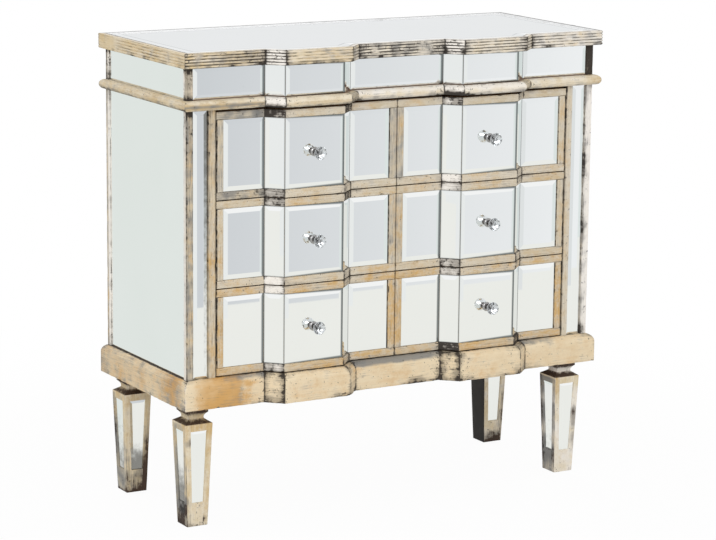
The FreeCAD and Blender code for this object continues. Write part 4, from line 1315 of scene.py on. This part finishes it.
top_gilding = gilding("top_gilding", shade(228, 214, 188), shade(220, 196, 150), shade(240, 232, 219),
                      streak=0.3, speck=0.0)
top_low, top_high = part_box("top_moulding_front")
top_height = top_high.z - top_low.z
top_lip = 0.012
REEDS = 5
REED_POINTS = 8
reed_depth = 0.0018
share = np.arange(REED_POINTS) / REED_POINTS
hollow = (2 * share - 1) ** 2
reed_sink = np.append(np.tile(reed_depth * hollow, REEDS), reed_depth)
reed_rise = np.append((np.arange(REEDS)[:, None] + share[None, :]).ravel() * top_height / REEDS, top_height)
lip_points = [(0.0035, top_height), (0.006, top_height), (top_lip, top_height)]
top_profile = np.concatenate([[(top_lip, 0)], np.stack([reed_sink, reed_rise], axis=1), lip_points])
top_worn = np.concatenate([[(top_lip, 0)], np.stack([0.15 * reed_sink, reed_rise], axis=1), lip_points])
top_worn[1, 0] = 0.0012
on_reeds = np.interp(reed_sink / reed_depth, [0, 0.3, 0.5, 1], [0.3, 0, -0.7, -1])
on_reeds[-1] = 0.0
reed_ridge = np.concatenate([[0], on_reeds, [0, 0, 0.2]])


def smooth_patches(along, around):
    """Where the reeds are filled and worn flat: 1 in patches a hand's breadth long, 0 between."""
    wave = drift(along, around * 0.5, 0.075, 17) + 0.35 * drift(along, around, 0.02, 18)
    return np.clip((wave - 0.5) / 0.35 + 4 * hump(along, 0, 0.11), 0, 1)


profile_place = np.arange(len(top_profile))
on_lip = (profile_place >= len(top_profile) - 3).astype(float)
on_lip_edge = np.append(on_lip[1:], 0)
on_seam = (profile_place == len(top_profile) - 1).astype(float)
on_lower = np.interp(profile_place, [0, 1, 14, 24], [1, 1, 0.9, 0])
on_bottom = np.interp(profile_place, [0, 1, 7, 12], [0, 0.8, 0.5, 0])


def top_values(i):
    """Near cants are silver with black grooves; the right half is rubbed more than the left."""
    near, on_left, at_back = i in NEAR_CANTS, i == LEFT_RETURN, i in (RIGHT_RETURN, BACK_LENGTH)
    ends = by_length(i, [(0.2, 0.7), (0.6, 0.3), (0.4, 0.4), (0.5, 0.4), (0.5, 0.2)], (0, 0.1))
    base = by_length(i, [0.3, -0.2, 0.5, 0.15, 0.1], -0.4 if on_left else 0.0)
    grime_and_shade = by_length(i, [fading((0, 0.35), 0.08, 0.16), fading((0.2, 0), 0.02, 0.02),
                          fading((0.25, 0.1), 0.06, 0.24), fading((0.15, 0.3), 0.03, 0.1),
                          fading((0.3, 0), 0.03, 0.04)],
                      fading((0, 0), 1.0, 0.3 if i in FAR_CANTS else 0.1 if near else 0.0))
    joints = fading((0.45, 0.35), 0.003)
    patch = fading((0.4, 1.0), 0.009) if i == NEAR_CANTS[1] else nowhere

    def worn(along, longest):
        body = ends[0] * np.exp(-along / 0.03) + ends[1] * np.exp(-(longest - along) / 0.03)
        body = body + 0.45 * hump(along / longest, 0.55, 0.2) * on_left + base
        body = np.full(len(along), 0.6) if near else body
        return body[:, None] * (1 - on_lip) + on_lip * (-1 if at_back else 0.2)

    def tarnish(along, longest):
        chipped = np.clip(1.8 * drift(along[:, None], 0, 0.045, 30 + i) - 0.2, 0, 1) * on_bottom
        body = grime_and_shade(along, longest) + joints(along, longest) + patch(along, longest) * on_lower
        seam = on_seam * (0.0 if at_back else 0.9 if on_left else 0.7)
        return np.clip(body * (1 - on_lip) + chipped + seam, 0, 1)

    warmth = by_length(i, [0.46, 0.2, -0.2, -0.2, -0.4], -0.9 if near else 0.28 if on_left else -0.2)
    lip_warmth = by_length(i, [-0.25, -0.5, -0.9, -0.9, -0.9],
                           -1.8 if at_back else -0.1 if on_left else -0.9)
    soft = by_length(i, [0.14, 0.24, 0.4, 0.15, 0.25], 0.22 if on_left else 0.0)
    lip_edge_dust = {RIGHT_RETURN: 1.7, BACK_LENGTH: 1.6}.get(i, 0.0)
    values = {"ridge": reed_ridge, "worn": worn, "tarnish": tarnish,
              "dust": soft * (1 - on_lip) + lip_edge_dust * on_lip_edge,
              "warmth": warmth * (1 - on_lip) + lip_warmth * on_lip}
    return {**values, "mitre": 1.0} if at_back else values


top_lengths = mitred_run(outline, top_profile, top_worn, top_low.z, top_values, smooth_patches)
gilt_piece("top_moulding_front", top_lengths[LEFT_FLAT:RIGHT_RETURN], top_gilding, crease=70)
gilt_piece("top_moulding_returns", [top_lengths[i] for i in (LEFT_RETURN, RIGHT_RETURN, BACK_LENGTH)],
           top_gilding, crease=70)

top_bevel = 0.020
ground_line = 0.010
line_fade = 0.003
plate_low, plate_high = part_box("top_mirror")


def plate_level(inwards, height):
    """The outline of the top's mirror at a height, drawn in from the lip round it."""
    return at_height(outline(-top_lip - pane_joint - inwards), height)


at_line = np.array([CLEAR_OF_JOINTS, CLEAR_OF_JOINTS, 0.0, line_fade])
top_plate = glass_patch([plate_level(0, plate_low.z), plate_level(0, plate_high.z - bevel_depth),
                         plate_level(top_bevel, plate_high.z),
                         plate_level(top_bevel + ground_line, plate_high.z)], at_line[:, None])
glass_piece("top_plate", [top_plate], "top_mirror")


# Studio. A white floor that ends in front of the chest, an even white room and one broad soft lamp.
# Glass and gilding see the room's pale tints, and the camera stands where the photographer stood.

GREEN_WALL = (0.82, 0.86, 0.83, 1)
SIDE_SCREEN = (0.90, 0.915, 0.91, 1)
GREY_CURTAIN = (0.63, 0.655, 0.685, 1)
BRIGHT_DOOR = (0.98, 0.99, 1.0, 1)
PALE_WALL = (0.80, 0.85, 0.84, 1)
DARK_WALL = (0.66, 0.74, 0.72, 1)
BACK_WALL = (0.85, 0.86, 0.87, 1)
room_tints = {-180: BACK_WALL, -165: GREEN_WALL, -105: GREEN_WALL, -80: SIDE_SCREEN, 19.5: SIDE_SCREEN,
              25.5: GREY_CURTAIN, 35.5: BRIGHT_DOOR, 40: PALE_WALL, 60: PALE_WALL, 100: DARK_WALL,
              130: DARK_WALL, 145: BACK_WALL, 180: BACK_WALL}


def room_colour(nodes, place):
    """The room's tint by bearing, in degrees from straight in front of the chest towards its right."""
    right = nodes.part_of(place, "X")
    bearing = right.math("ARCTAN2", right, nodes.part_of(place, "Y") * -1)
    stops = [(degrees / 360 + 0.5, colour) for degrees, colour in room_tints.items()]
    return nodes.add("ShaderNodeValToRGB", {"stops": stops}, {0: bearing * (0.5 / np.pi) + 0.5})


def seen_by(nodes, *kinds):
    """1 for rays of the given kinds."""
    rays = [nodes.add("ShaderNodeLightPath", (), (), "Is " + kind + " Ray") for kind in kinds]
    total = rays[0]
    for ray in rays[1:]:
        total = total.larger(ray)
    return total


WHITE = (1.0, 1.0, 1.0, 1.0)
FLOOR_TINT = (0.93, 0.93, 0.89, 1.0)
room_light = 0.84
floor_front = -1.91
floor_reach = 6.0

room = bpy.data.worlds.new("room")
bpy.context.scene.world = room
room_nodes = Nodes(room)
room_nodes.tree.nodes.clear()
room_place = room_nodes.coordinates("Generated")
in_front = (room_nodes.part_of(room_place, "Y") * -1).ease(0.0, 0.3)
rise = room_nodes.part_of(room_place, "Z")
floor_band = rise.ease(-0.045, -0.025) * rise.ease(0.048, 0.036)
bright_band = rise.ease(0.1, 0.13)
ceiling = rise.ease(0.145, 0.195)
over_horizon = (floor_band.larger(bright_band) * in_front).larger(ceiling)
room_tint = room_nodes.blend(over_horizon.larger(seen_by(room_nodes, "Camera")),
                             room_colour(room_nodes, room_place), WHITE)
room_lit = room_nodes.add("ShaderNodeBackground", (), {"Color": WHITE, "Strength": room_light})
room_shown = room_nodes.add("ShaderNodeBackground", (), {"Color": room_tint, "Strength": 1.0})
room_nodes.add("ShaderNodeOutputWorld", (), {"Surface": room_nodes.add("ShaderNodeMixShader", (), {
    0: seen_by(room_nodes, "Camera", "Glossy", "Transmission"), 1: room_lit, 2: room_shown})})

floor_material = bpy.data.materials.new("white_floor")
floor_nodes = Nodes(floor_material)
floor_nodes.tree.nodes.clear()
floor_place = floor_nodes.coordinates()
floor_behind = floor_nodes.part_of(floor_place, "Y").ease(0.2, 0.7)
floor_tint = floor_nodes.blend(floor_behind, FLOOR_TINT, room_colour(floor_nodes, floor_place))
floor_colour = floor_nodes.blend(seen_by(floor_nodes, "Camera"), floor_tint, WHITE)
glow = floor_nodes.add("ShaderNodeEmission", (), {"Color": floor_colour, "Strength": 1.0})
chalk = floor_nodes.add("ShaderNodeBsdfDiffuse", (), {"Color": (0.8, 0.8, 0.8, 1)})
distance = floor_nodes.add("ShaderNodeVectorMath", {"operation": "LENGTH"}, {0: floor_place}, "Value")
glow_share = distance.ease(0.6, 1.6) * 0.04 + 0.96
glow_share = seen_by(floor_nodes, "Camera", "Glossy", "Transmission") * glow_share
floor_nodes.add("ShaderNodeOutputMaterial", (), {
    "Surface": floor_nodes.add("ShaderNodeMixShader", (), {0: glow_share, 1: chalk, 2: glow})})
floor_mesh = bpy.data.meshes.new("floor")
floor_mesh.from_pydata([(-floor_reach, floor_front, 0), (floor_reach, floor_front, 0),
                        (floor_reach, floor_reach, 0), (-floor_reach, floor_reach, 0)], [], [(0, 1, 2, 3)])
floor_mesh.materials.append(floor_material)
floor = bpy.data.objects.new("floor", floor_mesh)
bpy.context.scene.collection.objects.link(floor)

lamp_data = bpy.data.lights.new("soft_lamp", "AREA")
lamp_data.shape = "DISK"
lamp_data.size = 1.8
lamp_data.energy = 36
lamp = bpy.data.objects.new("soft_lamp", lamp_data)
lamp.location = (-2.0, -3.0, 2.4)
lamp.rotation_euler = (Vector((0, 0, 0.45)) - lamp.location).to_track_quat("-Z", "Y").to_euler()
bpy.context.scene.collection.objects.link(lamp)

PICTURE_WIDTH = 716
SENSOR = 36.0
focal_pixels = 2775.457
camera_place = (-2.664009, -4.635981, 1.508355)
yaw, pitch, roll = 0.52207, -0.19856, 0.01051
forwards = np.array([np.sin(yaw) * np.cos(pitch), np.cos(yaw) * np.cos(pitch), np.sin(pitch)])
level_right = np.array([np.cos(yaw), -np.sin(yaw), 0])
level_up = np.cross(level_right, forwards)
right = np.cos(roll) * level_right + np.sin(roll) * level_up
up = np.cos(roll) * level_up - np.sin(roll) * level_right
camera_data = bpy.data.cameras.new("camera")
camera_data.sensor_width = SENSOR
camera_data.lens = focal_pixels * SENSOR / PICTURE_WIDTH
camera = bpy.data.objects.new("camera", camera_data)
camera_axes = np.eye(4)
camera_axes[:3, :] = np.column_stack([right, up, -forwards, camera_place])
camera.matrix_world = Matrix(camera_axes.tolist())
bpy.context.scene.collection.objects.link(camera)
bpy.context.scene.camera = camera
bpy.context.scene.view_settings.view_transform = "Standard"
